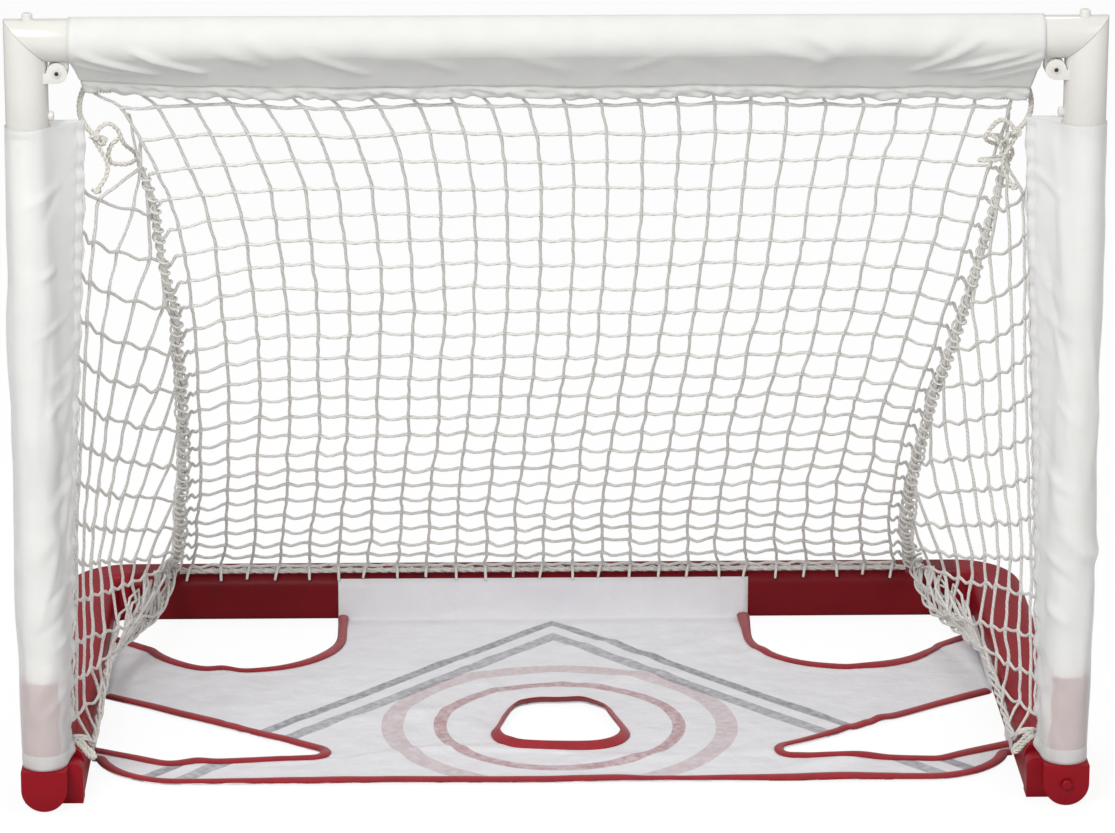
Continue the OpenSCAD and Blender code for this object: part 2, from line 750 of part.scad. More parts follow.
// Opening between a side wing and the front band, drawn out to a round tip.
module lower_opening() {
    hull() {
        translate([tip_half, front_y + tip_y]) circle(r = tip_r);
        translate([cloth_side - belly_in, front_y + belly_y]) circle(r = belly_r);
        translate([cloth_side, band_back_y]) square([rail_w, wing_front_y - band_back_y]);
    }
}

// The hole's outline, a little narrower at the back.
module target_hole(grow) {
    r = hole_r;
    translate([hole_x, front_y + hole_y]) hull() for (s = [-1, 1]) {
        translate([s * (hole_w / 2 - r), r - hole_l / 2]) circle(r = r + grow, $fn = 32);
        translate([s * (hole_w / 2 - r - hole_taper), hole_l / 2 - r]) circle(r = r + grow, $fn = 32);
    }
}

module inside_base() {
    intersection() {
        translate([-cloth_side, cloth_front - 1])
            square([2 * cloth_side, cloth_back - cloth_front + 1]);
        children();
    }
}

module target_cloth() {
    color(white_cloth) {
        linear_extrude(target_t) difference() {
            inside_base() offset(delta = -binding_w - seat_gap) target_blank();
            target_hole(binding_w + seat_gap);
        }
        translate([-target_back_half + 2, bar_inner - seat_gap - target_t, 0])
            cube([2 * target_back_half - 4, target_t, rail_h - rail_round]);
        translate([-target_back_half + binding_w + 1, cloth_back - 1, 0])
            cube([2 * (target_back_half - binding_w - 1), bar_inner - seat_gap - cloth_back + 1, target_t]);
    }
}

module target_binding() {
    color(red_tape) linear_extrude(binding_t) inside_base() difference() {
        target_blank();
        offset(delta = -binding_w) target_blank();
    }
}

module target_hole_binding() {
    color(red_tape) linear_extrude(binding_t) difference() {
        target_hole(binding_w);
        target_hole(0);
    }
}

// Tabs that hold the target's wing and front band to the rail's inner face.
module target_tab() {
    ends = [[band_side_y, band_back_y], [wing_front_y, wing_back_y]];
    color(white_cloth) for (y = ends)
        translate([-rail_inner + seat_gap, y[0] + tab_inset, 0])
            cube([tab_t, y[1] - y[0] - 2 * tab_inset, tab_h]);
}

// Rope tie over the rail's inner edge, at the net's lower front corner.
module net_tie() {
    tie_r = 2.2;
    tie_y = rail_y0 + 4 * tie_r;
    from = [-rail_x - 2 * tie_r, tie_y, rail_h + tie_r + 2.6];
    to = [-rail_inner + tie_r, tie_y, rail_h + 0.8];
    tilt = atan2(from[2] - to[2], to[0] - from[0]);
    color(white_rope) translate(from) rotate([0, 90 + tilt, 0]) cylinder(r = tie_r, h = norm(to - from));
}

module net_back() {
    color(net_white) banded_panel(function (u, v) back_point(u, v), back_cols, 4);
}

module net_side() {
    color(net_white) banded_panel(function (u, v) side_point(u, v), side_cols, 2);
}

module net_seam() {
    color(net_white) swept_cord(function (t) seam(t), seam_d, 30, 6, [1, 0, 0]);
}

module net_hem_cord() {
    half = net_low_half - seam_clear;
    color(net_white) translate([-half, net_low[0], rail_h + hem_cord_d / 2 + seat_gap])
        rotate([0, 90, 0]) cylinder(d = hem_cord_d, h = 2 * half);
}

on_side(-1) base_rail();  // base_rail_left
on_side(1) base_rail();  // base_rail_right
on_side(-1) base_corner();  // base_corner_left
on_side(1) base_corner();  // base_corner_right
base_back_bar();
on_side(-1) rail_end_plug();  // rail_end_plug_left
on_side(1) rail_end_plug();  // rail_end_plug_right
target_cloth();
target_binding();
target_hole_binding();
on_side(-1) target_tab();  // target_tab_left
on_side(1) target_tab();  // target_tab_right
on_side(-1) net_tie();  // net_tie_left
on_side(1) net_tie();  // net_tie_right
crossbar_tube();
crossbar_sleeve();
crossbar_net_flap();
on_side(-1) at_left_pin() elbow_bar_half();  // elbow_bar_half_left
on_side(1) at_left_pin() elbow_bar_half();  // elbow_bar_half_right
on_side(-1) at_left_pin() elbow_hinge_pin();  // elbow_hinge_pin_left
on_side(1) at_left_pin() elbow_hinge_pin();  // elbow_hinge_pin_right
on_side(-1) at_left_pin() latch_button();  // latch_button_left
on_side(1) at_left_pin() latch_button();  // latch_button_right
on_side(-1) at_left_pin() latch_spring();  // latch_spring_left
on_side(1) at_left_pin() latch_spring();  // latch_spring_right
net_back();
on_side(-1) net_side();  // net_side_left
on_side(1) net_side();  // net_side_right
on_side(-1) net_seam();  // net_seam_left
on_side(1) net_seam();  // net_seam_right
net_hem_cord();
on_side(-1) at_left_pin() elbow_post_half();  // elbow_post_half_left
on_side(1) at_left_pin() elbow_post_half();  // elbow_post_half_right
on_side(-1) at_left_post() post_tube(false);  // post_tube_left
on_side(1) at_left_post() post_tube(true);  // post_tube_right
on_side(-1) at_left_post() post_sleeve();  // post_sleeve_left
on_side(1) at_left_post() post_sleeve();  // post_sleeve_right
on_side(-1) at_left_post() post_net_flap();  // post_net_flap_left
on_side(1) at_left_post() post_net_flap();  // post_net_flap_right
on_side(-1) at_left_post() post_foot(false);  // post_foot_left
on_side(1) at_left_post() post_foot(true);  // post_foot_right
on_side(-1) at_left_post() elbow_snap_place() snap_button(elbow_r);  // post_snap_button_left
on_side(1) at_left_post() elbow_snap_place() snap_button(elbow_r);  // post_snap_button_right
on_side(-1) at_left_post() elbow_snap_place() snap_spring();  // post_snap_spring_left
on_side(1) at_left_post() elbow_snap_place() snap_spring();  // post_snap_spring_right
on_side(1) at_left_post() foot_snap_place() snap_button(foot_reach);  // foot_snap_button
on_side(1) at_left_post() foot_snap_place() snap_spring();  // foot_snap_spring
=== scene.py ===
"""Dresses the folding hockey goal: moulded frame and base, sleeves, cord net and floor target."""

import math
import random

import bmesh
import bpy
import numpy as np
from mathutils import Matrix, Vector, geometry, noise


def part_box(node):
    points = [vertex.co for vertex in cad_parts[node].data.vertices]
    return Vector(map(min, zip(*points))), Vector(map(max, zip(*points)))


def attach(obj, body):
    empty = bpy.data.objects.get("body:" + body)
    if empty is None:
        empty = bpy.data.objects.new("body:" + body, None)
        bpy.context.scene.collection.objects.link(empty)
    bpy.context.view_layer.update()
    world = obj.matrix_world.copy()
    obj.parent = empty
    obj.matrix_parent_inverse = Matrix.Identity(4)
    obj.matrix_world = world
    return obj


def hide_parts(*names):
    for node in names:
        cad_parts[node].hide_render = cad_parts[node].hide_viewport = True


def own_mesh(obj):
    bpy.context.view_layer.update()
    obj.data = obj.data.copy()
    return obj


bl_info = {
    "name": "Hockey goal dressing",
    "version": (1, 0, 0),
    "blender": (4, 5, 0),
    "location": "View3D > Sidebar > Goal",
    "description": "Builds the cloth, net, mouldings and finishes of a small folding hockey goal",
    "category": "Object",
}

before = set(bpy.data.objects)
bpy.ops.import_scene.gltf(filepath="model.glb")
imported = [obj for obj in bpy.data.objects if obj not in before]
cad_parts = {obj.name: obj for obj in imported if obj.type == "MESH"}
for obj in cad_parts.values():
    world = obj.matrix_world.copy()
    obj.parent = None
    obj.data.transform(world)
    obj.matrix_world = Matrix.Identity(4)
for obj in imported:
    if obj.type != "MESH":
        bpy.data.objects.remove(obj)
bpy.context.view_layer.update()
MM = 0.001

# Places that the pieces share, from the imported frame.
BAR_LOW, BAR_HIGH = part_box("crossbar_tube")
BAR_Y = (BAR_LOW.y + BAR_HIGH.y) / 2
BAR_Z = (BAR_LOW.z + BAR_HIGH.z) / 2
BAR_SLEEVE_LOW, BAR_SLEEVE_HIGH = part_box("crossbar_sleeve")
SLEEVE_R = (BAR_SLEEVE_HIGH.z - BAR_SLEEVE_LOW.z) / 2
BAR_FLAP_LOW, BAR_FLAP_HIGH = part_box("crossbar_net_flap")
PIN_LOW, PIN_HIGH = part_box("elbow_hinge_pin_right")
PIN_X = (PIN_LOW.x + PIN_HIGH.x) / 2
PIN_Z = (PIN_LOW.z + PIN_HIGH.z) / 2
POST_LOW, POST_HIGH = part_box("post_tube_left")
POST_X = (POST_LOW.x + POST_HIGH.x) / 2
POST_FLAP_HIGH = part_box("post_net_flap_left")[1]
POST_SLEEVE_LOW, POST_SLEEVE_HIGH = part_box("post_sleeve_left")
RAIL_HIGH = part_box("base_rail_left")[1]
BACK_LOW, BACK_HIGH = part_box("base_back_bar")
HOLE_LOW, HOLE_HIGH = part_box("target_hole_binding")
HOLE_X = (HOLE_LOW.x + HOLE_HIGH.x) / 2
HOLE_Y = (HOLE_LOW.y + HOLE_HIGH.y) / 2
CLOTH_LOW, CLOTH_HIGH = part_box("target_binding")
SIDES = (("left", -1), ("right", 1))


# ---------------------------------------------------------------------------------------------
# Sizes and colours that a user would change
# ---------------------------------------------------------------------------------------------


def length_setting(name, description, default):
    return bpy.props.FloatProperty(
        name=name, description=description, default=default, unit="LENGTH"
    )


def colour_setting(name, description, default):
    return bpy.props.StringProperty(name=name, description=description, default=default)


class GoalNetSettings(bpy.types.PropertyGroup):
    """Sizes of the cord net."""

    columns: bpy.props.IntProperty(
        name="Back columns", description="Meshes across the back panel", default=24, min=8, max=40
    )
    rows: bpy.props.IntProperty(
        name="Back rows", description="Meshes down the back panel", default=23, min=8, max=40
    )
    side_rows: bpy.props.IntProperty(
        name="Side rows", description="Rows down each side panel", default=14, min=6, max=24
    )
    turn: bpy.props.FloatProperty(
        name="Sag", description="Angle the back of the net turns through as it sags",
        default=math.radians(25), subtype="ANGLE",
    )
    cord: length_setting("Cord", "Diameter of the net's cord", 2.9 * MM)
    top_half: length_setting("Upper half width", "Half width of the net at its upper edge", 0.391)
    low_half: length_setting("Lower half width", "Half width of the net at the back bar", 0.353)
    waist_left: length_setting("Left waist", "How far the left seam bows inward", 0.047)
    waist_right: length_setting("Right waist", "How far the right seam bows inward", 0.026)
    dip: length_setting("Dip", "How much lower a row lies beside a seam than in the middle", 0.024)
    wander: length_setting("Wander", "How far a mesh corner strays from its even place", 3.2 * MM)


class GoalClothSettings(bpy.types.PropertyGroup):
    """Sizes of the sleeves and the target."""

    thickness: length_setting("Cloth", "Thickness of the sleeves' cloth", 0.6 * MM)
    hem: length_setting("Hem", "Width of the crossbar sleeve's sewn hem", 13 * MM)
    target_sag: length_setting("Ripple", "Height of the ripples in the floor target", 1.6 * MM)


class GoalColourSettings(bpy.types.PropertyGroup):
    """Colours of the finishes, as sRGB hex values."""

    white_moulding: colour_setting("White moulding", "Moulded elbows", "E8E6E0")
    red_moulding: colour_setting("Red moulding", "Blow-moulded base and feet", "960A1C")
    # A darker copy of the red moulding: painted shade for the back bar's front face, which lies in shade
    # inside the goal.
    red_moulding_painted_shade: colour_setting("Maroon moulding", "Blow-moulded bar at the back", "780814")
    cloth: colour_setting("Sleeve cloth", "White polyester of the posts' sleeves", "EFEFEE")
    # A copy of the sleeve polyester, toned down as painted shade so that the crossbar's brightly lit top
    # doesn't burn out.
    bar_cloth_painted_shade: colour_setting("Crossbar cloth", "Off-white polyester of the crossbar's sleeve", "F5F5F2")
    cord: colour_setting("Net cord", "Braided cord of the net", "ECEAE5")
    rope: colour_setting("Rope", "Laid rope of the lashings and ties", "E4E1D8")
    tape: colour_setting("Binding tape", "Woven tape round the target", "A0091C")
    target: colour_setting("Target cloth", "White polyester of the target", "EDECEF")


def net_settings():
    return bpy.context.scene.goal_net


def cloth_settings():
    return bpy.context.scene.goal_cloth


def colours():
    return bpy.context.scene.goal_colours


# ---------------------------------------------------------------------------------------------
# Materials
# ---------------------------------------------------------------------------------------------


def linear(hex_code, shade=1.0):
    """An sRGB hex value as linear RGBA, darkened by shade."""
    values = [int(hex_code[i : i + 2], 16) / 255 for i in (0, 2, 4)]
    turned = [v / 12.92 if v <= 0.04045 else ((v + 0.055) / 1.055) ** 2.4 for v in values]
    return (*[v * shade for v in turned], 1.0)


def grey(value):
    return (value, value, value, 1.0)


def per_metre(size_mm):
    """The scale of a pattern whose parts measure size_mm."""
    return 1000 / size_mm


def add(tree, kind, links=None, stops=None, **settings):
    """A shader node with its settings, its sockets' values or links and its ramp's stops.
    A node given for a socket is linked from its first output."""
    node = tree.nodes.new(kind)
    for key, value in settings.items():
        setattr(node, key, value)
    for socket, value in (links or {}).items():
        if isinstance(value, bpy.types.Node):
            value = value.outputs[0]
        if isinstance(value, bpy.types.NodeSocket):
            tree.links.new(value, node.inputs[socket])
        else:
            node.inputs[socket].default_value = value
    for number, (position, colour) in enumerate(stops or ()):
        elements = node.color_ramp.elements
        element = elements[number] if number < len(elements) else elements.new(position)
        element.position = position
        element.color = colour
    return node


def new_material(name):
    """An empty material, its node tree and its texture coordinates."""
    material = bpy.data.materials.new(name)
    material.use_nodes = True
    tree = material.node_tree
    tree.nodes.clear()
    return material, tree, add(tree, "ShaderNodeTexCoord").outputs


def mottle(tree, where, size_mm, detail, stops, **constants):
    """Soft lumps about size_mm across, and a ramp over them."""
    lumps = add(
        tree, "ShaderNodeTexNoise",
        {"Vector": where, "Scale": per_metre(size_mm), "Detail": detail, **constants},
    )
    return lumps, add(tree, "ShaderNodeValToRGB", {"Fac": lumps}, stops=stops)


def glossy_abs():
    """Injection-moulded ABS: warm white and glossy, with faint flow waves and handling scuffs."""
    material, tree, place = new_material("white_moulded_abs")
    where = place["Object"]
    white = colours().white_moulding
    shades = [(0.35, linear(white)), (0.8, linear(white, 0.95))]
    _, tone = mottle(tree, where, 40, 3.0, shades)
    scuff, gloss = mottle(
        tree, where, 3, 6.0, [(0.35, grey(0.16)), (0.75, grey(0.27))], Roughness=0.7
    )
    flow = add(tree, "ShaderNodeTexNoise", {"Vector": where, "Scale": per_metre(14), "Detail": 2.0})
    waves = add(tree, "ShaderNodeBump", {"Height": flow, "Distance": 0.2 * MM, "Strength": 0.15})
    marks = add(
        tree, "ShaderNodeBump",
        {"Height": scuff, "Distance": 0.02 * MM, "Strength": 0.1, "Normal": waves},
    )
    shader = add(
        tree, "ShaderNodeBsdfPrincipled",
        {"Base Color": tone, "Roughness": gloss, "Normal": marks, "IOR": 1.53,
         "Subsurface Weight": 0.08, "Subsurface Radius": (0.004, 0.003, 0.002)},
    )
    add(tree, "ShaderNodeOutputMaterial", {"Surface": shader})
    return material


def hdpe(name, hex_code):
    """Blow-moulded HDPE: deep red with a wavy, nearly matt skin and fine scratches from use."""
    material, tree, place = new_material(name)
    where = place["Object"]
    shades = [(0.3, linear(hex_code)), (0.8, linear(hex_code, 0.78))]
    _, tone = mottle(tree, where, 60, 3.0, shades)
    grain, gloss = mottle(
        tree, where, 2.2, 5.0, [(0.3, grey(0.32)), (0.8, grey(0.5))], Roughness=0.65
    )
    skin = add(tree, "ShaderNodeTexNoise", {"Vector": where, "Scale": per_metre(22), "Detail": 3.0})
    waves = add(tree, "ShaderNodeBump", {"Height": skin, "Distance": 0.6 * MM, "Strength": 0.35})
    scratches = add(
        tree, "ShaderNodeBump",
        {"Height": grain, "Distance": 0.08 * MM, "Strength": 0.35, "Normal": waves},
    )
    shader = add(
        tree, "ShaderNodeBsdfPrincipled",
        {"Base Color": tone, "Roughness": gloss, "Normal": scratches, "IOR": 1.52,
         "Specular IOR Level": 0.2},
    )
    add(tree, "ShaderNodeOutputMaterial", {"Surface": shader})
    return material


def tube_enamel():
    """Powder-coated tube: white with a fine orange-peel skin."""
    material, tree, place = new_material("white_powder_coat")
    shades = [(0.3, grey(0.32)), (0.7, grey(0.45))]
    peel, gloss = mottle(tree, place["Object"], 1.4, 3.0, shades)
    skin = add(tree, "ShaderNodeBump", {"Height": peel, "Distance": 0.06 * MM, "Strength": 0.4})
    shader = add(
        tree, "ShaderNodeBsdfPrincipled",
        {"Base Color": linear("EFEEEB"), "Roughness": gloss, "Normal": skin, "IOR": 1.5},
    )
    add(tree, "ShaderNodeOutputMaterial", {"Surface": shader})
    return material


def zinc_steel():
    """Zinc-plated spring steel: a bright grey metal with a faint spangle."""
    material, tree, place = new_material("zinc_plated_steel")
    shades = [(0.3, linear("8E9093")), (0.7, linear("C2C4C6"))]
    spangle, tone = mottle(tree, place["Object"], 2, 2.0, shades)
    pits = add(tree, "ShaderNodeBump", {"Height": spangle, "Distance": 0.04 * MM, "Strength": 0.3})
    shader = add(
        tree, "ShaderNodeBsdfPrincipled",
        {"Base Color": tone, "Normal": pits, "Metallic": 1.0, "Roughness": 0.38},
    )
    add(tree, "ShaderNodeOutputMaterial", {"Surface": shader})
    return material


def rivet_with_painted_shade():
    """Steel hinge rivet: its head is painted white with the elbow, and a dark dot of painted shade,
    about 1.8 mm in radius with a ragged rim, stands for the shade in the rivet's punched hollow."""
    material, tree, place = new_material("steel_rivet_painted_hollow_shade")
    split = add(tree, "ShaderNodeSeparateXYZ", {"Vector": place["Object"]})
    side = add(tree, "ShaderNodeMath", {0: split.outputs["X"]}, operation="ABSOLUTE")
    across = add(tree, "ShaderNodeMath", {0: side, 1: PIN_X}, operation="SUBTRACT")
    above = add(tree, "ShaderNodeMath", {0: split.outputs["Z"], 1: PIN_Z}, operation="SUBTRACT")
    offset = add(tree, "ShaderNodeCombineXYZ", {"X": across, "Y": above})
    away = add(tree, "ShaderNodeVectorMath", {0: offset}, operation="LENGTH")
    centimetres = add(
        tree, "ShaderNodeMath", {0: away.outputs["Value"], 1: 100.0}, operation="MULTIPLY"
    )
    rim_wobble = add(
        tree, "ShaderNodeTexNoise",
        {"Vector": place["Object"], "Scale": per_metre(1.5), "Detail": 3.0},
    )
    shade_dot_fac = add(
        tree, "ShaderNodeMath", {0: rim_wobble, 1: 0.06, 2: centimetres}, operation="MULTIPLY_ADD"
    )
    # Painted shade: dark near the rivet's axis, grey at the ragged rim, white beyond.
    tone = add(
        tree, "ShaderNodeValToRGB", {"Fac": shade_dot_fac},
        stops=[(0.17, linear("2A2624")), (0.21, linear("8C8A86")), (0.25, linear("DDDBD6"))],
    )
    shader = add(tree, "ShaderNodeBsdfPrincipled", {"Base Color": tone, "Roughness": 0.42})
    add(tree, "ShaderNodeOutputMaterial", {"Surface": shader})
    return material


def weave_height(tree, place, pitch_mm):
    """Height of a plain weave whose threads lie pitch_mm apart on a UV map in metres."""
    split = add(tree, "ShaderNodeSeparateXYZ", {"Vector": place["UV"]})
    waves = []
    for axis in ("X", "Y"):
        turns = add(
            tree, "ShaderNodeMath", {0: split.outputs[axis], 1: 2 * math.pi * per_metre(pitch_mm)},
            operation="MULTIPLY",
        )
        waves.append(add(tree, "ShaderNodeMath", {0: turns}, operation="SINE"))
    return add(tree, "ShaderNodeMath", {0: waves[0], 1: waves[1]}, operation="MULTIPLY")


def polyester(name, hex_code, see_through, glow, paint=None, hem=0.0, slack_mm=1.2):
    """Plain-woven polyester: threads drawn 1.2 mm apart, coarser than the real 0.3 mm, so that
    they show, a soft sheen, and light that comes through from behind. A hem of double cloth
    at the start of the UV map's second direction hides half of what is behind it."""
    material, tree, place = new_material(name)
    weave = weave_height(tree, place, 1.2)
    shades = [(0.3, linear(hex_code)), (0.85, linear(hex_code, 0.94))]
    cloud, tone = mottle(tree, place["Object"], 25, 4.0, shades)
    colour = paint(tree, place, tone) if paint else tone
    threads = add(tree, "ShaderNodeBump", {"Height": weave, "Distance": 0.12 * MM, "Strength": 0.5})
    slack = add(
        tree, "ShaderNodeBump",
        {"Height": cloud, "Distance": slack_mm * MM, "Strength": 0.25, "Normal": threads},
    )
    shader = add(
        tree, "ShaderNodeBsdfPrincipled",
        {"Base Color": colour, "Normal": slack, "Roughness": 0.62, "Sheen Weight": 0.15,
         "Sheen Roughness": 0.4, "Specular IOR Level": 0.3},
    )
    through = add(tree, "ShaderNodeBsdfTranslucent", {"Color": linear(hex_code)})
    lit = add(tree, "ShaderNodeMixShader", {0: glow, 1: shader, 2: through})
    clear = add(tree, "ShaderNodeBsdfTransparent")
    along = add(tree, "ShaderNodeSeparateXYZ", {"Vector": place["UV"]})
    single = add(
        tree, "ShaderNodeMath", {0: along.outputs["Y"], 1: hem}, operation="GREATER_THAN"
    )
    half = 0.5 * see_through
    share = add(tree, "ShaderNodeMath", {0: single, 1: half, 2: half}, operation="MULTIPLY_ADD")
    # A shadow ray sees twice as much through the cloth, so that the lining isn't too dark.
    path = add(tree, "ShaderNodeLightPath")
    share = add(
        tree, "ShaderNodeMath", {0: path.outputs["Is Shadow Ray"], 1: share, 2: share},
        operation="MULTIPLY_ADD",
    )
    cloth = add(tree, "ShaderNodeMixShader", {0: share, 1: lit, 2: clear})
    add(tree, "ShaderNodeOutputMaterial", {"Surface": cloth})
    return material


def binding_tape():
    """Woven polyester binding: deep red, with cross ribs drawn up to 1.6 mm apart so that they
    show, and closer on the shorter lengths."""
    material, tree, place = new_material("red_grosgrain_tape")
    split = add(tree, "ShaderNodeSeparateXYZ", {"Vector": place["UV"]})
    turns = add(
        tree, "ShaderNodeMath", {0: split.outputs["X"], 1: 2 * math.pi * per_metre(1.6)},
        operation="MULTIPLY",
    )
    ribs = add(tree, "ShaderNodeMath", {0: turns}, operation="SINE")
    shades = [(0.3, linear(colours().tape)), (0.8, linear(colours().tape, 0.75))]
    _, tone = mottle(tree, place["Object"], 12, 3.0, shades)
    raised = add(tree, "ShaderNodeBump", {"Height": ribs, "Distance": 0.15 * MM, "Strength": 0.5})
    shader = add(
        tree, "ShaderNodeBsdfPrincipled",
        {"Base Color": tone, "Normal": raised, "Roughness": 0.7, "Sheen Weight": 0.25},
    )
    add(tree, "ShaderNodeOutputMaterial", {"Surface": shader})
    return material


def braided(name, hex_code, length_mm, pitch_mm, strands):
    """Braided polyester cord: pale and matt, with slanted strands drawn coarser than the real
    1 mm so that they show, and painted shade in the grooves between them. The UV map's first
    direction runs from 0 to 1 along a cord of length_mm."""
    material, tree, place = new_material(name)
    split = add(tree, "ShaderNodeSeparateXYZ", {"Vector": place["UV"]})
    along = add(
        tree, "ShaderNodeMath",
        {0: split.outputs["X"], 1: 2 * math.pi * length_mm / pitch_mm}, operation="MULTIPLY",
    )
    twist = add(
        tree, "ShaderNodeMath", {0: split.outputs["Y"], 1: 2 * math.pi * strands, 2: along},
        operation="MULTIPLY_ADD",
    )
    slant = add(tree, "ShaderNodeMath", {0: twist}, operation="SINE")
    fuzz = add(
        tree, "ShaderNodeTexNoise",
        {"Vector": place["Object"], "Scale": per_metre(1.5), "Detail": 2.0},
    )
    groove_shade = add(tree, "ShaderNodeMath", {0: slant, 1: 0.18, 2: fuzz}, operation="MULTIPLY_ADD")
    # Painted shade: the ramp darkens the grooves between the strands.
    tone = add(
        tree, "ShaderNodeValToRGB", {"Fac": groove_shade},
        stops=[(0.3, linear(hex_code, 0.86)), (0.6, linear(hex_code))],
    )
    raised = add(tree, "ShaderNodeBump", {"Height": slant, "Distance": 0.4 * MM, "Strength": 0.6})
    shader = add(
        tree, "ShaderNodeBsdfPrincipled",
        {"Base Color": tone, "Normal": raised, "Roughness": 0.75, "Specular IOR Level": 0.3,
         "Sheen Weight": 0.1},
    )
    add(tree, "ShaderNodeOutputMaterial", {"Surface": shader})
    return material


def target_print(tree, place, cloth):
    """Screen print on the target: rings round the hole and slanted bars, faded grey and red.
    The ramps' stops are metres from the hole's middle."""
    where = place["Object"]
    centre = add(
        tree, "ShaderNodeVectorMath", {0: where, 1: (-HOLE_X, -HOLE_Y, 0)}, operation="ADD"
    )
    split = add(tree, "ShaderNodeSeparateXYZ", {"Vector": centre})
    flat = add(tree, "ShaderNodeCombineXYZ", {"X": split.outputs["X"], "Y": split.outputs["Y"]})
    far = add(tree, "ShaderNodeVectorMath", {0: flat}, operation="LENGTH")
    side = add(tree, "ShaderNodeMath", {0: split.outputs["X"]}, operation="ABSOLUTE")
    slope = add(
        tree, "ShaderNodeMath", {0: split.outputs["Y"], 1: 0.9, 2: side}, operation="MULTIPLY_ADD"
    )
    _, faded = mottle(tree, where, 6, 5.0, [(0.30, grey(0.45)), (0.62, grey(0.85))])
    rings = [(0.0, 0), (0.098, 1), (0.112, 0), (0.138, 0.55), (0.160, 0)]
    bars = [(0.0, 0), (0.205, 0.8), (0.226, 0), (0.246, 1), (0.258, 0)]
    colour = cloth.outputs[0]
    for across, bands, ink in ((far.outputs["Value"], rings, "B4868B"), (slope, bars, "7E7F88")):
        shape = add(
            tree, "ShaderNodeValToRGB", {"Fac": across},
            stops=[(edge, grey(value)) for edge, value in bands],
        )
        shape.color_ramp.interpolation = "CONSTANT"
        printed = add(tree, "ShaderNodeMath", {0: shape, 1: faded}, operation="MULTIPLY")
        mixed = add(
            tree, "ShaderNodeMix", {0: printed, 6: colour, 7: linear(ink)}, data_type="RGBA"
        )
        colour = mixed.outputs[2]
    return colour


# ---------------------------------------------------------------------------------------------
# Mesh helpers
# ---------------------------------------------------------------------------------------------


def place_piece(mesh, name, material, body):
    """Links a mesh as a smooth piece that rides on a body."""
    piece = bpy.data.objects.new(name, mesh)
    bpy.context.scene.collection.objects.link(piece)
    mesh.materials.append(material)
    mesh.shade_smooth()
    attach(piece, body)
    return piece


def solidify(piece, thickness, offset=0.0):
    modifier = piece.modifiers.new("Thickness", "SOLIDIFY")
    modifier.thickness = thickness
    modifier.offset = offset


def bent_grid(name, columns, rows, surface, width, length):
    """A grid bent to a surface of u and v from 0 to 1, with a UV map in metres."""
    bm = bmesh.new()
    bm.loops.layers.uv.new("UVMap")
    bmesh.ops.create_grid(bm, x_segments=columns, y_segments=rows, size=0.5, calc_uvs=True)
    mesh = bpy.data.meshes.new(name)
    bm.to_mesh(mesh)
    bm.free()
    flat = np.empty(len(mesh.vertices) * 3)
    mesh.vertices.foreach_get("co", flat)
    u, v = flat.reshape(-1, 3)[:, 0] + 0.5, flat.reshape(-1, 3)[:, 1] + 0.5
    mesh.vertices.foreach_set("co", np.column_stack(surface(u, v)).ravel())
    corner = np.empty(len(mesh.loops), dtype=int)
    mesh.loops.foreach_get("vertex_index", corner)
    metres = np.column_stack([u * width, v * length])[corner]
    mesh.uv_layers[0].data.foreach_set("uv", metres.ravel())
    mesh.update()
    return mesh


def sleeve_piece(name, columns, rows, surface, size, cloth, body):
    """Cloth of a sleeve, bent to a surface. Its flat size is (across, along) in metres."""
    mesh = bent_grid(name, columns, rows, surface, *size)
    piece = place_piece(mesh, name, cloth, body)
    solidify(piece, cloth_settings().thickness)
    return piece


def smooth_step(t):
    t = np.clip(t, 0, 1)
    return t * t * (3 - 2 * t)


def bell(x, middle, half):
    """A bump of height 1 at middle that fades within about half on either side."""
    return np.exp(-(((x - middle) / half) ** 2))


def ripple(x, y, size, seed):
    """Smooth lumps between -1 and 1, about size across."""
    lump = [noise.noise(Vector((a / size, b / size, seed * 7.3))) for a, b in zip(x, y)]
    return np.array(lump)


def creases(x, y, lines):
    """Height of long folds: each line is (x0, y0, x1, y1, half width, height)."""
    height = np.zeros_like(x)
    for x0, y0, x1, y1, half, lift in lines:
        dx, dy = x1 - x0, y1 - y0
        t = np.clip(((x - x0) * dx + (y - y0) * dy) / (dx * dx + dy * dy), 0, 1)
        gap = np.hypot(x - x0 - t * dx, y - y0 - t * dy)
        taper = np.sqrt(np.clip(4 * t * (1 - t), 0.02, 1))
        height += lift * taper * np.exp(-((gap / half) ** 2))
    return height


def random_creases(seed, count, spots, run, half, lift):
    """Folds with seeded places: spots is (x low, x high, y low, y high) and run is (dx, dy)."""
    chooser = random.Random(seed)
    lines = []
    for _ in range(count):
        x, y = chooser.uniform(*spots[:2]), chooser.uniform(*spots[2:])
        stretch = chooser.uniform(0.6, 1.3)
        turn = chooser.uniform(-0.25, 0.25)
        dx, dy = run[0] * stretch, run[1] * stretch
        dx, dy = dx - turn * dy, dy + turn * dx
        height = chooser.uniform(0.5, 1.0) * lift * chooser.choice((1, 1, -0.7))
        lines.append((x, y, x + dx, y + dy, half * chooser.uniform(0.7, 1.5), height))
    return lines


ON_TUBE, AT_EDGE = 0.14, 0.6  # shares of a flap's cloth: where it leaves the tube, and its edge
TUCK = 0.9 * MM  # how far a flap starts below the sleeve that it comes out of
CLEAR = 0.12 * MM  # keeps a flap's front layer off the sleeve
FOLD_DEEP = 1.1 * MM  # how far the front layer stays ahead of the back one at the edge


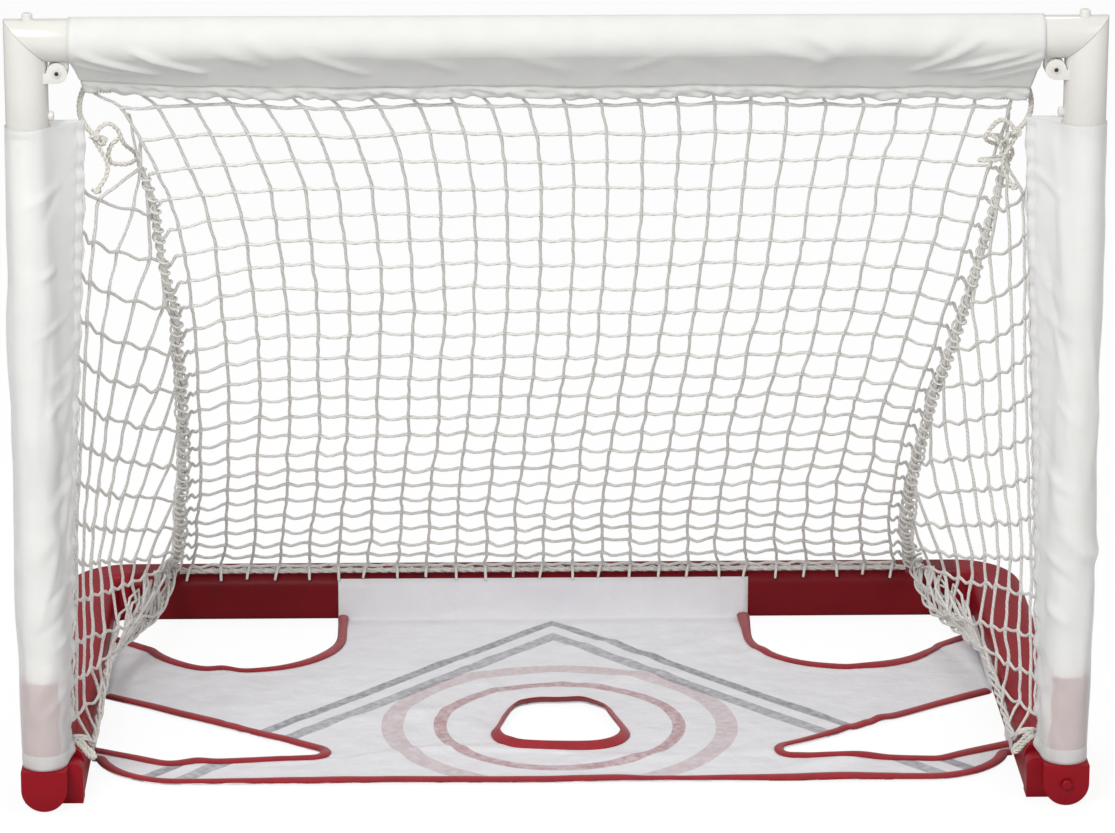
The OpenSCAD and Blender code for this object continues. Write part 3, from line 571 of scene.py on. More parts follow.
class Teardrop:
    """Section of a sleeve: cloth round a tube, drawn to an edge (a, b) beside it.
    a points from the tube to the edge, and b to the back."""

    def __init__(self, a, b, radius):
        far = np.hypot(a, b)
        middle = np.arctan2(b, a)
        spread = np.arccos(np.clip(radius / far, 0, 1))
        self.edge = (a, b)
        self.radius = radius
        self.back = middle + spread
        self.front = middle - spread

    def arc(self, angle, lift):
        away = self.radius + lift
        return away * np.cos(angle), away * np.sin(angle)

    def straight(self, angle, share, lift, inset):
        """From the tangent at angle, a share of the way to the edge."""
        a0, b0 = self.radius * np.cos(angle), self.radius * np.sin(angle)
        a = a0 + (self.edge[0] - a0) * share + lift * np.cos(angle)
        b = b0 + (self.edge[1] - inset - b0) * share + lift * np.sin(angle)
        return a, b

    def turn_round(self, q):
        """Angle round the tube: once round from the back tangent, with a lap of one degree."""
        end = self.back + 2 * math.pi + math.radians(1)
        return self.back + (end - self.back) * q

    def wrap(self, q, lift):
        """The sleeve, which goes once round the tube and starts flat under the flap."""
        return self.arc(self.turn_round(q), lift * smooth_step(q * 8))

    def flap(self, q, lift, start, back_lift=0.0):
        """The flap: out of the sleeve just before it leaves the tube, down to the edge, and
        up again behind to the tube."""
        turn = np.clip(q / ON_TUBE, 0, 1)
        down = np.clip((q - ON_TUBE) / (AT_EDGE - ON_TUBE), 0, 1)
        angle = self.front - start * (1 - turn)
        curved = self.arc(angle, lift - TUCK * (1 - turn) ** 1.5 + CLEAR)
        front = self.straight(self.front, down, lift + CLEAR, FOLD_DEEP)
        up = np.clip((1 - q) / (1 - AT_EDGE), 0, 1)
        behind = self.straight(self.back, up, back_lift, 0)
        pushed = np.clip(-lift, 0, None) * up**2
        back = (behind[0], behind[1] + pushed)
        drawn = [np.where(q < ON_TUBE, c, f) for c, f in zip(curved, front)]
        return [np.where(q < AT_EDGE, d, b) for d, b in zip(drawn, back)]

    def distance(self, q, start):
        """Distance of the flap's points from its tangent on the tube, along the cloth."""
        reach = np.sqrt(np.clip(self.edge[0] ** 2 + self.edge[1] ** 2 - self.radius**2, 0, None))
        down = (q - ON_TUBE) / (AT_EDGE - ON_TUBE)
        up = (1 - q) / (1 - AT_EDGE)
        on_tube = -self.radius * start * (1 - q / ON_TUBE)
        return np.where(q < ON_TUBE, on_tube, reach * np.clip(np.minimum(down, up), 0, 1))


def curve_mesh(name, splines, diameter, sides_level, resolution):
    """A mesh of round cords. Each spline is a list of (point, radius factor)."""
    curve = bpy.data.curves.new(name, "CURVE")
    curve.dimensions = "3D"
    curve.bevel_depth = diameter / 2
    curve.bevel_resolution = sides_level
    curve.resolution_u = resolution
    curve.use_fill_caps = True
    for points in splines:
        spline = curve.splines.new("BEZIER")
        spline.bezier_points.add(len(points) - 1)
        for bezier, (point, factor) in zip(spline.bezier_points, points):
            bezier.co = point
            bezier.radius = factor
            bezier.handle_left_type = "AUTO"
            bezier.handle_right_type = "AUTO"
    holder = bpy.data.objects.new(name + "_curve", curve)
    bpy.context.scene.collection.objects.link(holder)
    depsgraph = bpy.context.evaluated_depsgraph_get()
    mesh = bpy.data.meshes.new_from_object(holder.evaluated_get(depsgraph))
    bpy.data.objects.remove(holder)
    bpy.data.curves.remove(curve)
    mesh.materials.clear()
    mesh.name = name
    return mesh


def cord_piece(name, splines, diameter, resolution, material, body):
    """A piece of round cords along splines."""
    mesh = curve_mesh(name, splines, diameter, 1, resolution)
    return place_piece(mesh, name, material, body)


def jitter(seed, *place):
    """A steady random vector for a place in a net."""
    chooser = random.Random(f"{seed}:{place}")
    return Vector((chooser.uniform(-1, 1), chooser.uniform(-1, 1), chooser.uniform(-1, 1)))


SHARP = math.radians(32)  # edges of the CAD model that fold more than this are rounded
CREASED = math.radians(38)  # edges that fold more than this are shaded sharp


def softened(node, width, name, material, body, segments=2):
    """A copy of a rigid CAD node with its sharp edges rounded, which replaces the node."""
    bm = bmesh.new()
    bm.from_mesh(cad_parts[node].data)
    bmesh.ops.remove_doubles(bm, verts=bm.verts, dist=2e-6)
    bmesh.ops.dissolve_limit(
        bm, angle_limit=math.radians(0.5), verts=bm.verts, edges=bm.edges, delimit=set()
    )
    folded = [e for e in bm.edges if len(e.link_faces) == 2]
    sharp = [e for e in folded if e.calc_face_angle(0) > SHARP]
    bmesh.ops.bevel(
        bm, geom=sharp, offset=width, offset_type="OFFSET", segments=segments, profile=0.5,
        affect="EDGES", clamp_overlap=True, material=-1,
    )
    mesh = bpy.data.meshes.new(name)
    bm.to_mesh(mesh)
    bm.free()
    piece = place_piece(mesh, name, material, body)
    mesh.set_sharp_from_angle(angle=CREASED)
    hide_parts(node)
    return piece


def dress(names, material):
    """Gives CAD nodes a finish."""
    for name in names:
        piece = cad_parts[name]
        piece.data.materials.clear()
        piece.data.materials.append(material)


def sleeve_reach(z):
    """How far a post's sleeve reaches inward from the post's middle: less towards the floor."""
    low, high = 22 * MM, POST_FLAP_HIGH.x - POST_X
    bulge = 1.2
    share = (z - POST_SLEEVE_LOW.z) / (POST_SLEEVE_HIGH.z - POST_SLEEVE_LOW.z)
    return low + (high - low) * np.clip(share, 0, 1) ** bulge


def in_mm(lines):
    """Numbers in millimetres as metres."""
    return [tuple(value * MM for value in line) for line in lines]


# ---------------------------------------------------------------------------------------------
# Operators: one for each piece or group of like pieces
# ---------------------------------------------------------------------------------------------


class GOAL_OT_stage(bpy.types.Operator):
    """Pale floor, soft studio light and the camera"""

    bl_idname = "goal.stage"
    bl_label = "Stage"

    def execute(self, context):
        scene = context.scene
        scene.view_settings.view_transform = "Standard"
        self.add_floor()
        self.add_light(scene)
        self.add_camera(scene)
        return {"FINISHED"}

    def seen_directly(self, tree):
        """1 for a ray from the camera or one that has passed through see-through cloth."""
        path = add(tree, "ShaderNodeLightPath")
        return add(
            tree, "ShaderNodeMath",
            {0: path.outputs["Is Camera Ray"], 1: path.outputs["Is Transmission Ray"]},
            operation="MAXIMUM",
        )

    def add_floor(self):
        """A floor that the camera sees as white paper with the object's shadow on it. It lies
        just below the base, so that the two don't flicker."""
        half, below = 12, 0.6 * MM
        bounced_grey, seen_grey = 0.64, 0.92
        glow, glow_share = 1.03, 0.88
        bm = bmesh.new()
        bmesh.ops.create_grid(bm, x_segments=1, y_segments=1, size=half)
        mesh = bpy.data.meshes.new("floor")
        bm.to_mesh(mesh)
        bm.free()
        mesh.transform(Matrix.Translation((0, 0, -below)))
        floor = bpy.data.objects.new("floor", mesh)
        bpy.context.scene.collection.objects.link(floor)
        material = bpy.data.materials.new("white_paper_floor")
        material.use_nodes = True
        tree = material.node_tree
        tree.nodes.clear()
        seen = self.seen_directly(tree)
        bounce = add(
            tree, "ShaderNodeMix", {0: seen, 6: grey(bounced_grey), 7: grey(seen_grey)},
            data_type="RGBA",
        )
        paper = add(tree, "ShaderNodeBsdfDiffuse", {"Color": bounce.outputs[2]})
        white = add(tree, "ShaderNodeEmission", {"Color": grey(1.0), "Strength": glow})
        share = add(tree, "ShaderNodeMath", {0: seen, 1: glow_share}, operation="MULTIPLY")
        both = add(tree, "ShaderNodeMixShader", {0: share, 1: paper, 2: white})
        add(tree, "ShaderNodeOutputMaterial", {"Surface": both})
        mesh.materials.append(material)

    def add_light(self, scene):
        """A white world that gives a weak fill, and three soft lamps."""
        fill_strength = 0.42
        world = bpy.data.worlds.new("studio")
        scene.world = world
        world.use_nodes = True
        tree = world.node_tree
        tree.nodes.clear()
        seen = self.seen_directly(tree)
        fill = add(tree, "ShaderNodeBackground", {"Color": grey(1.0), "Strength": fill_strength})
        white = add(tree, "ShaderNodeBackground", {"Color": grey(1.0), "Strength": 1.0})
        both = add(tree, "ShaderNodeMixShader", {0: seen, 1: fill, 2: white})
        add(tree, "ShaderNodeOutputWorld", {"Surface": both})
        aim_at = Vector((0, 0, 0.3))
        lamps = (  # name, place, diameter in metres, power in watts
            ("key_softbox", (-1.3, -2.8, 2.8), 1.8, 84),
            ("fill_softbox", (2.4, -2.4, 2.2), 2.4, 26),
            ("back_softbox", (0.5, 1.5, 3.0), 1.0, 14),
        )
        for name, place, size, power in lamps:
            light = bpy.data.lights.new(name, "AREA")
            light.shape = "DISK"
            light.size = size
            light.energy = power
            lamp = bpy.data.objects.new(name, light)
            lamp.location = place
            lamp.rotation_euler = (aim_at - lamp.location).to_track_quat("-Z", "Y").to_euler()
            scene.collection.objects.link(lamp)

    def add_camera(self, scene):
        """Stands 3.9 m in front of the posts, left of the middle, and looks down on the goal."""
        focal_px, width_px = 4860, 1115
        looks_down, turned_right = math.radians(15.38), math.radians(1.06)
        camera = bpy.data.cameras.new("camera")
        camera.sensor_fit = "HORIZONTAL"
        camera.sensor_width = 36
        camera.lens = focal_px / width_px * camera.sensor_width
        camera.shift_x = 0.03
        camera.shift_y = -0.10
        camera.clip_end = 60
        holder = bpy.data.objects.new("camera", camera)
        holder.location = (-0.100, -4.184, 1.525)
        holder.rotation_euler = (math.pi / 2 - looks_down, 0, -turned_right)
        scene.collection.objects.link(holder)
        scene.camera = holder


class GOAL_OT_mouldings(bpy.types.Operator):
    """White elbows, red base and red feet"""

    bl_idname = "goal.mouldings"
    bl_label = "Mouldings"

    def execute(self, context):
        white = glossy_abs()
        red = hdpe("red_blow_moulded_hdpe", colours().red_moulding)
        shaded_red = hdpe("red_hdpe_painted_shade", colours().red_moulding_painted_shade)
        for side, _ in SIDES:
            post = f"{side}_post"
            softened(f"elbow_bar_half_{side}", 0.7 * MM, f"elbow_bar_{side}", white,
                     "frame")
            softened(f"elbow_post_half_{side}", 0.7 * MM, f"elbow_post_{side}", white,
                     post)
            softened(f"post_foot_{side}", 1.6 * MM, f"foot_{side}", red, post, 3)
            softened(f"latch_button_{side}", 0.5 * MM, f"latch_cap_{side}", white,
                     f"{side}_latch")
        base = [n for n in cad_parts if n.startswith(("base_", "rail_end"))]
        dress(base + ["foot_snap_button"], red)
        # The back bar takes the darker red as painted shade.
        dress(["base_back_bar"], shaded_red)
        return {"FINISHED"}


class GOAL_OT_hardware(bpy.types.Operator):
    """Tubes, hinge pins, springs and snap buttons"""

    bl_idname = "goal.hardware"
    bl_label = "Tubes and hardware"

    def execute(self, context):
        dress(["crossbar_tube", "post_tube_left", "post_tube_right"], tube_enamel())
        names = list(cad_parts)
        zinc = zinc_steel()
        dress([n for n in names if "_spring" in n], zinc)
        for side, _ in SIDES:
            self.add_latch_spring(side, zinc)
        dress([n for n in names if n.startswith("elbow_hinge")], rivet_with_painted_shade())
        buttons = [n for n in names if n.startswith("post_snap") and "_spring" not in n]
        dress(buttons, glossy_abs())
        return {"FINISHED"}

    def add_latch_spring(self, side, zinc):
        """A copy of the latch's spring, which rides on the frame."""
        node = f"latch_spring_{side}"
        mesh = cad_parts[node].data.copy()
        mesh.materials.clear()
        spring = place_piece(mesh, f"coil_{node}", zinc, "frame")
        mesh.set_sharp_from_angle(angle=CREASED)
        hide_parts(node)
        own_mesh(spring)


FLAP_SPLIT = 0.806  # share of the crossbar's flap that lies over the left post when it is folded


class GOAL_OT_crossbar_sleeve(bpy.types.Operator):
    """White cloth round the crossbar, drawn down to the hem that carries the net"""

    bl_idname = "goal.crossbar_sleeve"
    bl_label = "Crossbar sleeve"

    def execute(self, context):
        self.half = (BAR_SLEEVE_HIGH.x - BAR_SLEEVE_LOW.x) / 2
        self.hem_half = (BAR_FLAP_HIGH.x - BAR_FLAP_LOW.x) / 2
        self.radius = SLEEVE_R - 0.5 * MM
        self.folds = self.choose_folds()
        cloth = polyester(
            "crossbar_polyester_painted_shade", colours().bar_cloth_painted_shade, see_through=0.03, glow=0.12
        )
        width, round_it = 2 * self.half, 0.100
        sleeve = sleeve_piece(
            "crossbar_cloth", 260, 60, self.sleeve, (width, round_it), cloth, "frame"
        )
        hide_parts("crossbar_sleeve")
        lap = 4 * MM / width
        self.add_flap("left", 0, FLAP_SPLIT + lap, cloth)
        self.add_flap("right", FLAP_SPLIT - lap, 1, cloth)
        return {"FINISHED"}

    def add_flap(self, side, first, last, cloth):
        """One length of the flap, split where the post on its side lies under it when folded."""
        width, deep = 2 * self.half * (last - first), 0.112
        tilt = 0.035 if first else -0.035
        columns = int(300 * (last - first))

        def surface(u, v):
            return self.flap(first + (last - first) * u, v, tilt)

        flap = sleeve_piece(
            f"crossbar_flap_{side}", columns, 76, surface, (width, deep), cloth, "frame"
        )
        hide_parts("crossbar_net_flap")
        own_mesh(flap)

    def choose_folds(self):
        """Soft folds in mm, from (x, down) to (x, down), with their half width and height: they
        run from the ends down to the hem, with a few slacker ones between."""
        drawn = (
            (-396, 38, -330, 68, 3.6, 4.2), (-352, 34, -290, 66, 3.4, 4.0),
            (-398, 52, -352, 68, 3.0, 2.6), (-282, 34, -238, 56, 6.0, 2.0),
            (-212, 38, -156, 68, 4.5, 2.8), (-262, 20, -222, 50, 8.0, 1.6),
            (-120, 42, -80, 66, 6.0, 1.4), (-40, 40, 10, 64, 7.0, 1.3), (90, 44, 50, 66, 6.0, 1.4),
            (188, 12, 244, 46, 6.0, 2.0), (170, 34, 232, 52, 6.0, 1.6), (240, 30, 205, 60, 7.0, 1.5),
            (352, 26, 292, 66, 4.0, 3.4), (390, 40, 306, 66, 3.6, 3.8), (404, 44, 338, 68, 3.4, 4.0),
            (404, 56, 352, 76, 3.5, 2.6), (330, 16, 300, 46, 7.0, 1.8),
        )
        spots, run = (-0.38, 0.38, 0.02, 0.05), (0.05, 0.015)
        return in_mm(drawn) + random_creases(5, 12, spots, run, 9 * MM, 1.0 * MM)

    def edge(self, x):
        """Height of the hem below the tube: it is drawn up towards the left end."""
        drop = BAR_Z - BAR_FLAP_LOW.z
        rise = 8 * MM * bell(x, -self.hem_half, 0.06) - 3 * MM * bell(x, self.hem_half, 0.16)
        wave = 0.8 * MM * np.sin(x * 31 + 0.5) + 0.5 * MM * np.sin(x * 97)
        return drop - rise + wave

    def section(self, x):
        return Teardrop(self.edge(x), BAR_FLAP_HIGH.y - BAR_Y - 0.6 * MM, self.radius)

    def end_hems(self, x):
        """Narrow stitched grooves 4 mm from the cloth's ends."""
        return -0.5 * MM * bell(self.half - np.abs(x), 4 * MM, 0.9 * MM)

    def spread(self, u, share):
        """Place along the bar: the cloth narrows from the tube to the hem."""
        return (2 * u - 1) * (self.half + (self.hem_half - self.half) * share)

    def sleeve(self, u, v):
        x = self.spread(u, 0)
        section = self.section(x)
        down = self.radius * (section.turn_round(v) - math.pi)
        folds = creases(x, down, self.folds) * smooth_step((down + 0.01) / 0.02)
        a, b = section.wrap(v, np.maximum(folds, -0.3 * MM) + self.end_hems(x))
        return x, BAR_Y + b, BAR_Z - a

    def flap(self, u, v, tilt):
        """The flap's surface. At the split each length dips under the other."""
        start = math.radians(24)
        share = np.clip((v - ON_TUBE) / (AT_EDGE - ON_TUBE), 0, 1)
        share = np.minimum(share, np.clip((1 - v) / (1 - AT_EDGE), 0, 1))
        x = self.spread(u, share)
        section = self.section(x)
        beyond = section.distance(v, start)
        down = self.radius * (section.front + math.pi) + beyond
        to_hem = section.distance(np.full_like(v, AT_EDGE), start) - beyond
        hem = cloth_settings().hem
        band = smooth_step(1.4 - to_hem / hem)
        pucker = 0.7 * MM * np.sin(2 * math.pi * x / 0.0165 + 4 * ripple(x, x, 0.05, 2))
        pucker += 2.6 * MM * ripple(x + 0.6 * to_hem, 2.2 * to_hem, 0.012, 4) + 1.2 * MM
        groove_shade = 2.3 * MM * (1 + 0.6 * ripple(x, x, 0.03, 6))
        stitch = -groove_shade * bell(to_hem, hem, 1.4 * MM)
        belly = -1.5 * MM * np.sin(math.pi * share)
        past = x - self.spread(FLAP_SPLIT, share)
        lap = tilt * past * bell(past, 0, 7 * MM)
        folds = creases(x, down, self.folds) * (1 - 0.6 * band)
        lift = folds + pucker * band + stitch + self.end_hems(x) + belly + lap
        a, b = section.flap(v, lift, start, lap)
        return x, BAR_Y + b, BAR_Z - a


POST_HEM = 13 * MM  # width of the sewn hem at the lower end of a post's sleeve


class GOAL_OT_post_sleeves(bpy.types.Operator):
    """White cloth round each post, drawn in to the edge that carries the side net"""

    bl_idname = "goal.post_sleeves"
    bl_label = "Post sleeves"

    def execute(self, context):
        self.low = POST_SLEEVE_LOW.z
        self.high = POST_SLEEVE_HIGH.z
        self.radius = (POST_SLEEVE_HIGH.y - POST_SLEEVE_LOW.y) / 2 - 0.5 * MM
        cloth = polyester(
            "white_polyester_posts", colours().cloth, see_through=0.50, glow=0.15, hem=POST_HEM
        )
        tall = self.high - self.low
        for side, sign in SIDES:
            self.sign = sign
            self.folds = self.choose_folds(11 if sign < 0 else 23)
            body = f"{side}_post"
            sleeve = sleeve_piece(
                f"post_cloth_{side}", 66, 220, self.sleeve, (0.120, tall), cloth, body
            )
            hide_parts(f"post_sleeve_{side}")
            flap = sleeve_piece(
                f"post_flap_{side}", 68, 240, self.flap, (0.080, tall), cloth, body
            )
            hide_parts(f"post_net_flap_{side}")
            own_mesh(flap)
        return {"FINISHED"}

    def choose_folds(self, seed):
        """Long folds down the post and short slanted ones that end at the inner edge."""
        kinds = (  # long, slanted, and low beside the foot
            (12, (-0.03, 0.04, 0.02, 0.40), (0.010, 0.14), 5 * MM, 2.2 * MM),
            (16, (-0.01, 0.03, 0.03, 0.5), (0.028, 0.022), 4 * MM, 2.0 * MM),
            (6, (-0.03, 0.03, 0.0, 0.05), (0.03, 0.05), 5 * MM, 1.6 * MM),
        )
        folds = [line for n, kind in enumerate(kinds) for line in random_creases(seed + n, *kind)]
        return folds + (self.slump() if self.sign > 0 else [])

    def slump(self):
        """A deep fold where the right sleeve has slid down, in mm round the post and up it."""
        drawn = (
            (24, 262, 6, 204, 6.0, 2.6), (12, 214, -12, 184, 6.0, 3.0),
            (-2, 190, -36, 186, 8.0, 2.2), (-16, 186, -44, 200, 10.0, 1.2),
        )
        return in_mm(drawn)

    def edge(self, up):
        """Reach of the inner edge from the post's middle, puckered by the net's lacing."""
        pucker = 0.9 * MM * np.sin(2 * math.pi * up / 0.031) + 0.8 * MM * np.sin(up * 210)
        return sleeve_reach(self.low + up) + pucker

    def slack(self, up, round_it):
        """The cloth stands off the tube, most in the middle of its height."""
        t = np.clip(up / (self.high - self.low), 0, 1)
        loose = np.sin(math.pi * t) ** 0.7
        lump = ripple(up, round_it, 0.10, 5 + self.sign) + 0.5 * ripple(up, round_it, 0.045, 9)
        return loose * (1.8 * MM + 3.2 * MM * lump)

    def hems(self, up):
        """Sewn hems at the lower and upper ends."""
        top = self.high - self.low - up
        return -1.1 * MM * bell(up, POST_HEM, 1.3 * MM) - 0.7 * MM * bell(top, 6 * MM, 1.0 * MM)

    def section(self, up):
        return Teardrop(self.edge(up), POST_FLAP_HIGH.y - BAR_Y - 0.6 * MM, self.radius)

    def sleeve(self, u, v):
        up = v * (self.high - self.low)
        section = self.section(up)
        across = self.radius * (section.turn_round(u) - 1.5 * math.pi)
        lift = np.maximum(self.slack(up, across) + creases(across, up, self.folds), -0.2 * MM)
        lift = lift + self.hems(up) * 0.4
        a, b = section.wrap(u, lift)
        return self.sign * (-POST_X - a), BAR_Y + b, self.low + up

    def flap(self, u, v):
        start = math.radians(30)
        up = v * (self.high - self.low)
        section = self.section(up)
        beyond = section.distance(u, start)
        across = self.radius * (section.front + 0.5 * math.pi) + beyond
        to_edge = section.distance(np.full_like(u, AT_EDGE), start) - beyond
        near = smooth_step(1 - to_edge / 0.02)
        lift = self.slack(up, across) * (1 - near) + creases(across, up, self.folds)
        pucker = 1.2 * MM * np.sin(2 * math.pi * up / 0.0155 + 3 * ripple(up, up, 0.06, 3))
        stitch = -0.8 * MM * bell(to_edge, 9 * MM, 1.0 * MM)
        lift = lift + pucker * near + stitch + self.hems(up)
        a, b = section.flap(u, lift, start)
        return self.sign * (-POST_X - a), BAR_Y + b, self.low + up


class NetShape:
    """The hung net's surface: the back sags along an arc between two seams that bow inward,
    and each side panel runs from its post to a seam and to a lower edge along the rail."""

    def __init__(self):
        self.settings = net_settings()
        over_hem, behind_bar, above_bar = 3 * MM, 8 * MM, 8 * MM
        behind_hem, panel_drop, above_rail = 2.9 * MM, 80 * MM, 22 * MM
        self.top = Vector((BAR_FLAP_HIGH.y + behind_hem, BAR_FLAP_LOW.z + over_hem))
        self.low = Vector((BACK_LOW.y + behind_bar, BACK_HIGH.z + above_bar))
        chord = self.low - self.top
        self.length = chord.length
        self.middle = math.atan2(chord.x, -chord.y)
        self.radius = chord.length / (2 * math.sin(self.settings.turn / 2))
        self.side_y = BAR_FLAP_HIGH.y + 3 * MM
        self.side_top = self.top.y - panel_drop
        self.side_low = RAIL_HIGH.z + above_rail

    def direction(self, t):
        return self.middle + self.settings.turn * (t - 0.5)

    def profile(self, t):
        """Place in Y and Z, a share t of the way down."""
        a, b = self.direction(0), self.direction(t)
        return (
            self.top.x + self.radius * (math.cos(a) - math.cos(b)),
            self.top.y - self.radius * (math.sin(b) - math.sin(a)),
        )

    def half(self, t, sign):
        """Distance of a seam from the middle: the left one bows further and higher."""
        s = self.settings
        depth, skew = (s.waist_left, 0.62) if sign < 0 else (s.waist_right, 1.6)
        bow = max(math.sin(math.pi * min(max(t, 0), 1) ** skew), 0) ** 0.8
        return s.top_half + (s.low_half - s.top_half) * t - depth * bow

    def back(self, u, t):
        """A point of the back panel, u from 0 at the left seam to 1 at the right one."""
        y, z = self.profile(t)
        left, right = -self.half(t, -1), self.half(t, 1)
        return Vector((left + (right - left) * u, y, z))

    def seam(self, t, sign):
        return self.back((sign + 1) / 2, t)

    def out_of_back(self, t):
        """Direction square to the back panel, up and to the back."""
        a = self.direction(t)
        return Vector((0, math.cos(a), math.sin(a)))

    def column(self, i, t):
        """The share u of column i: the outer ones keep half a mesh away from the seams, a
        little less at the upper edge."""
        gap = 0.010 + 0.014 * min(1, max(t, 0) / 0.15)
        return gap + (1 - 2 * gap) * i / self.settings.columns

    def row(self, i, t):
        """The share t of a row where it crosses column i: it dips beside the seams."""
        edge = min(i, self.settings.columns - i)
        near = math.exp(-((edge / 1.25) ** 1.3))
        return t + self.settings.dip / self.length * near * math.sin(math.pi * t)

    def front(self, z, sign):
        """A point of a side panel's front edge, just inside the post sleeve's inner edge."""
        return Vector((-sign * (POST_X + sleeve_reach(z) - 2 * MM), self.side_y, z))

    def lower_edge(self, q, sign):
        """A point of a side panel's lower edge, from the front tie to the end of the seam."""
        along = self.side_y + (self.low.x - self.side_y) * q
        end = -RAIL_HIGH.x - self.settings.low_half
        inward = 5 * MM + (end - 5 * MM) * smooth_step((q - 0.52) / 0.46)
        inward -= 14 * MM * smooth_step(1 - q / 0.07)
        z = RAIL_HIGH.z - 14 * MM + 21 * MM * smooth_step(1 - q / 0.09)
        z += 22 * MM * smooth_step((q - 0.8) / 0.2)
        return Vector((-sign * (RAIL_HIGH.x + inward), along, z))

    def side_height(self, j):
        """Height of side row j at the front edge."""
        rows = self.settings.side_rows
        return self.side_top + (self.side_low - self.side_top) * j / (rows - 1)

    def seam_share(self, j):
        """Share of the way down at which side row j meets the seam; past 1 it is below it."""
        return 0.178 + 0.085 * j

    def side_end(self, j, sign):
        """Where side row j ends: on the seam, or on the lower edge for the lowest rows."""
        t, last = self.seam_share(j), 1.03
        if t < last:
            return self.seam(min(t, 1), sign)
        return self.lower_edge(max(1 - 1.9 * (t - last), 0), sign)

    def side(self, j, s, sign):
        """A point of side row j, s from 0 at the front edge to 1 at its end. A row sags, and
        bellies out further the lower it is, apart from the lowest ones."""
        point = self.front(self.side_height(j), sign).lerp(self.side_end(j, sign), s)
        hump = 4 * s * (1 - s)
        belly = 5 + 1.2 * min(j, 8) - 3.6 * max(j - 9, 0)
        sag = 5 * MM
        point.x += sign * belly * MM * hump
        point.z -= sag * hump
        return self.clear_of_base(point, ROW_GAP)

    def clear_of_base(self, point, gap):
        """Keeps a low point inside the rails and in front of the back bar."""
        if point.z < RAIL_HIGH.z + gap:
            inner = -RAIL_HIGH.x - gap
            point.x = min(max(point.x, -inner), inner)
            point.y = min(point.y, BACK_LOW.y - gap)
        return point

    def side_column(self, k, j):
        """The share s at which side column k crosses row j: columns lean back as they hang."""
        offset = (k - 0.35) * (30 + 1.7 * j) * MM
        return offset / (self.side_end(j, 1).y - self.side_y)


SEAM_TOP = 0.112  # share of the way down at which the seams begin, below the corner lashings
NET_SEED = 7  # without a seed noise_vector follows the clock, and the net differs in each run
ROW_GAP, EDGE_GAP = 2.6 * MM, 1.9 * MM  # from the base to a side row, and to the lower edge
KNOT_WIDE, SLACK_WIDE, END_WIDE = 1.18, 0.95, 1.15  # a cord's width at a corner, between, and last


